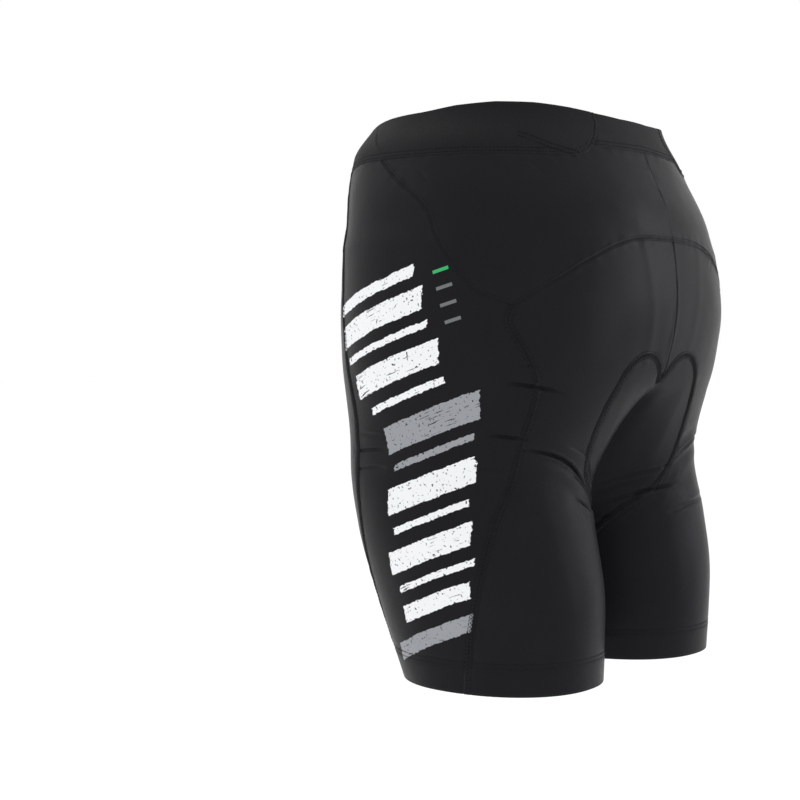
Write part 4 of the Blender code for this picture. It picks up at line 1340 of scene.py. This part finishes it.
def make_stitches():
    for side, label in ((LEFT, "_left"), (RIGHT, "_right")):
        for name in ("side_back", "front_side", "inseam"):
            stitch_piece("stitches_" + name + label, flatlock_rows(on_side(SEAMS[name], side)))
        for name in ("yoke", "diagonal"):
            line = on_side(SEAMS[name], side)
            rows = single_row(line, -PLAIN_ROW, PLAIN) + single_row(line, PLAIN_ROW, PLAIN)
            stitch_piece("stitches_" + name + label, rows)
        stitch_piece("stitches_hem" + label, hem_rows(side))
    saddle = np.vstack([SEAMS["saddle_back"][:-1], SEAMS["saddle_front"]])
    loop = np.vstack([saddle[:-1], mirror_line(saddle)])
    stitch_piece("stitches_saddle", flatlock_rows(loop))
    lap, foot, back_foot = band_feet()
    foot = np.vstack([foot[:-1], mirror_line(foot)])
    rows = []
    for away in FOOT_ROWS:
        rows += single_row(foot, -away, BAND_FOOT, BAND_FRONT_RISE)
    for side in (LEFT, RIGHT):
        rows += single_row(on_side(lap, side), -LAP_ROW * side, LAP, BAND_FRONT_RISE)
        for turns_heights in LAP_ROWS:
            turns, heights = np.transpose(turns_heights)
            slanting = on_side(spaced(around(np.radians(turns), heights)), side)
            rows += single_row(slanting, 0.0, RAW, BAND_FRONT_RISE)
    stitch_piece("stitches_band_front", rows)
    back_foot = np.vstack([back_foot[:-1], mirror_line(back_foot)])
    rows = []
    for away in FOOT_ROWS:
        rows += single_row(back_foot, away, BAND_FOOT, BAND_BACK_RISE)
    stitch_piece("stitches_band_back", rows)


PAD_LENGTH = 0.320
PAD_WIDTH = 0.190
PAD_START = -0.022
PAD_THICK = 8.6
PAD_RIM = 2.6
PAD_RIM_WIDTH = 4.5
PAD_SLOPE = 9.0
PAD_CHANNEL = 2.9
PAD_CLEAR = 0.9
PAD_CELL_SLOPE = 6.5
PAD_ARCH, PAD_ARCH_WIDTH, PAD_ARCH_START, PAD_ARCH_FADE = 2.0, 18.0, 50.0, 60.0
PadEdge = namedtuple("PadEdge", "along half_width")
PAD_EDGE_LINE = table(
    PadEdge,
    (0.025, 0), (0.010, 0.22), (0, 0.43), (0.026, 0.61), (0.075, 0.82), (0.130, 0.94), (0.200, 1),
    (0.270, 0.98), (0.330, 0.90), (0.400, 0.75), (0.465, 0.63), (0.540, 0.585), (0.620, 0.62),
    (0.710, 0.69), (0.800, 0.66), (0.880, 0.585), (0.945, 0.47), (0.985, 0.26), (1, 0))
# Sewn channels of one half of the pad, as mm across from its middle and along from its start
PAD_CHANNELS = [
    [(33, 7.8), (20, 34), (4.5, 67)], [(0, 19.2), (20, 19.2), (12, 44), (4.5, 67)], [(4.5, 67), (0, 68.2)],
    [(53.6, 77.9), (28, 71.5), (4.5, 67)], [(37.1, 113.2), (19, 109.3), (0, 108.1)],
    [(26.2, 150.2), (13, 149.6), (0, 149.5)], [(22.2, 190.3), (11, 188.6), (0, 187.9)],
    [(77, 37.4), (66, 56), (53.6, 77.9), (44.5, 95), (37.1, 113.2), (31, 131), (26.2, 150.2), (23.4, 170),
     (22.2, 190.3), (21.4, 212), (21, 231)],
    [(68.5, 123), (50, 134), (26.2, 150.2)], [(49, 170.8), (36, 179), (22.2, 190.3)],
    [(51.3, 199.8), (41, 215), (28.5, 231.2), (15, 241), (0, 244.9)],
]


def make_pad():
    """The foam seat pad inside the crotch: raised cells between sewn channels, with a flat pressed rim."""
    rows = [(p.half_width * PAD_WIDTH / 2, PAD_START + p.along * PAD_LENGTH) for p in PAD_EDGE_LINE]
    left = spaced(smooth_line(rows))
    left[0, 0] = left[-1, 0] = 0
    blank = lay_out([(left, RAW), (mirror_line(left), RAW)], SADDLE_SPACE, PAD_GRID)
    across, along = blank.flat.T / MM
    along = along - PAD_START / MM
    spot = np.stack([np.abs(across), along], -1)
    channels = [spaced(smooth_line(line), 2.0) if len(line) > 2 else np.array(line, float)
                for line in PAD_CHANNELS]
    channel = gap_to(spot, channels)
    edge = blank.gaps[RAW]
    gentle = wander(blank.base, PAD_WAVES)
    rise = np.clip((edge - PAD_RIM_WIDTH) / PAD_SLOPE, 0, 1)
    cell = np.clip(channel / PAD_CELL_SLOPE, 0, 1)
    swell = PAD_CHANNEL + (PAD_THICK - PAD_CHANNEL) * np.sqrt(cell * (2 - cell))
    dome = np.sqrt(rise * (2 - rise)) * (swell - PAD_RIM)
    wall = PAD_RIM + np.maximum(dome, 0) + gentle * rise
    turn = roll(edge, np.full(len(edge), PAD_RIM))
    forward = np.clip((along + PAD_START / MM - PAD_ARCH_START) / PAD_ARCH_FADE, 0, 1)
    arch = PAD_ARCH * bell(across, PAD_ARCH_WIDTH) * forward
    sunk = CLOTH / MM + PAD_CLEAR + arch + cleft_depth(blank.base) + np.maximum(0, -fold_height(blank.base))
    top = blank.base - blank.out * ((sunk + turn) * MM)[:, None]
    low = blank.base - blank.out * ((sunk + wall - turn) * MM)[:, None]
    pad = wall_mesh("seat_pad_foam", blank, top, low)
    sewn = np.maximum(bell(channel, 1.5) * rise, 0.7 * (1 - rise))
    finish_cloth(pad, FOAM_PAINT, "seat_pad", sewn)


make_bands()
make_panels()
make_saddle()
make_pad()
make_stitches()

# Stage, light and camera

CAMERA_TURN = math.radians(124.1)
CAMERA_DISTANCE = 1.2164
CAMERA_HEIGHT = -0.1811
CAMERA_PITCH = math.radians(1.845)
camera = bpy.data.cameras.new("camera")
camera.lens = 68.73
camera.sensor_width = 36.0
camera.shift_x = -0.1623
camera.shift_y = 0.0059


def at_turn(turn, distance, height):
    return np.array([math.sin(turn) * distance, -math.cos(turn) * distance, height])


view = stand("camera", camera)
view.location = at_turn(CAMERA_TURN, CAMERA_DISTANCE, CAMERA_HEIGHT)
view.rotation_euler = (math.pi / 2 - CAMERA_PITCH, 0, CAMERA_TURN)
bpy.context.scene.camera = view

LIGHT_TINT = (0.93, 0.96, 1.0)
LIGHT_DISTANCE = 1.8
LIGHT_AIM = np.array([0, 0, -0.2])
FLOOR_HEIGHT = -0.9
FLOOR_REACH = 30


def soft_box(name, turn, height, size, power):
    """A soft light with straight sides that looks at the object from a turn about it and a height."""
    data = bpy.data.lights.new(name, "AREA")
    data.color = LIGHT_TINT
    data.shape = "RECTANGLE"
    data.size, data.size_y = size
    data.energy = power
    lamp = stand(name, data)
    place = at_turn(math.radians(turn), LIGHT_DISTANCE, height)
    lamp.location = place
    way = LIGHT_AIM - place
    lamp.rotation_euler = (math.atan2(math.hypot(way[0], way[1]), -way[2]), 0, math.atan2(-way[0], way[1]))


world = bpy.data.worlds.new("studio")
world.use_nodes = True
world.node_tree.nodes["Background"].inputs["Color"].default_value = (1.0, 1.0, 1.0, 1)
world.node_tree.nodes["Background"].inputs["Strength"].default_value = 1.0
bpy.context.scene.world = world

FLOOR_CORNERS = np.array([(-1, -1, 0), (1, -1, 0), (1, 1, 0), (-1, 1, 0)]) * FLOOR_REACH
floor = new_mesh("floor", FLOOR_CORNERS + np.array([0, 0, FLOOR_HEIGHT]), np.array([[0, 1, 2, 3]]))
floor_paint = Paint("pale_floor", Roughness=0.9, Specular_IOR_Level=0.1, Base_Color=(0.92, 0.92, 0.92, 1),
                    Emission_Color=(1, 1, 1, 1), Emission_Strength=0.13)
floor.data.materials.append(floor_paint.material)

soft_box("soft_right", 238, 0.1, (0.7, 1.7), 0.3)
soft_box("strip_right", 225, 0.15, (0.12, 1.0), 8.5)
soft_box("soft_left", 34, 0.9, (1.0, 1.0), 3.5)
bpy.context.scene.view_settings.view_transform = "Standard"
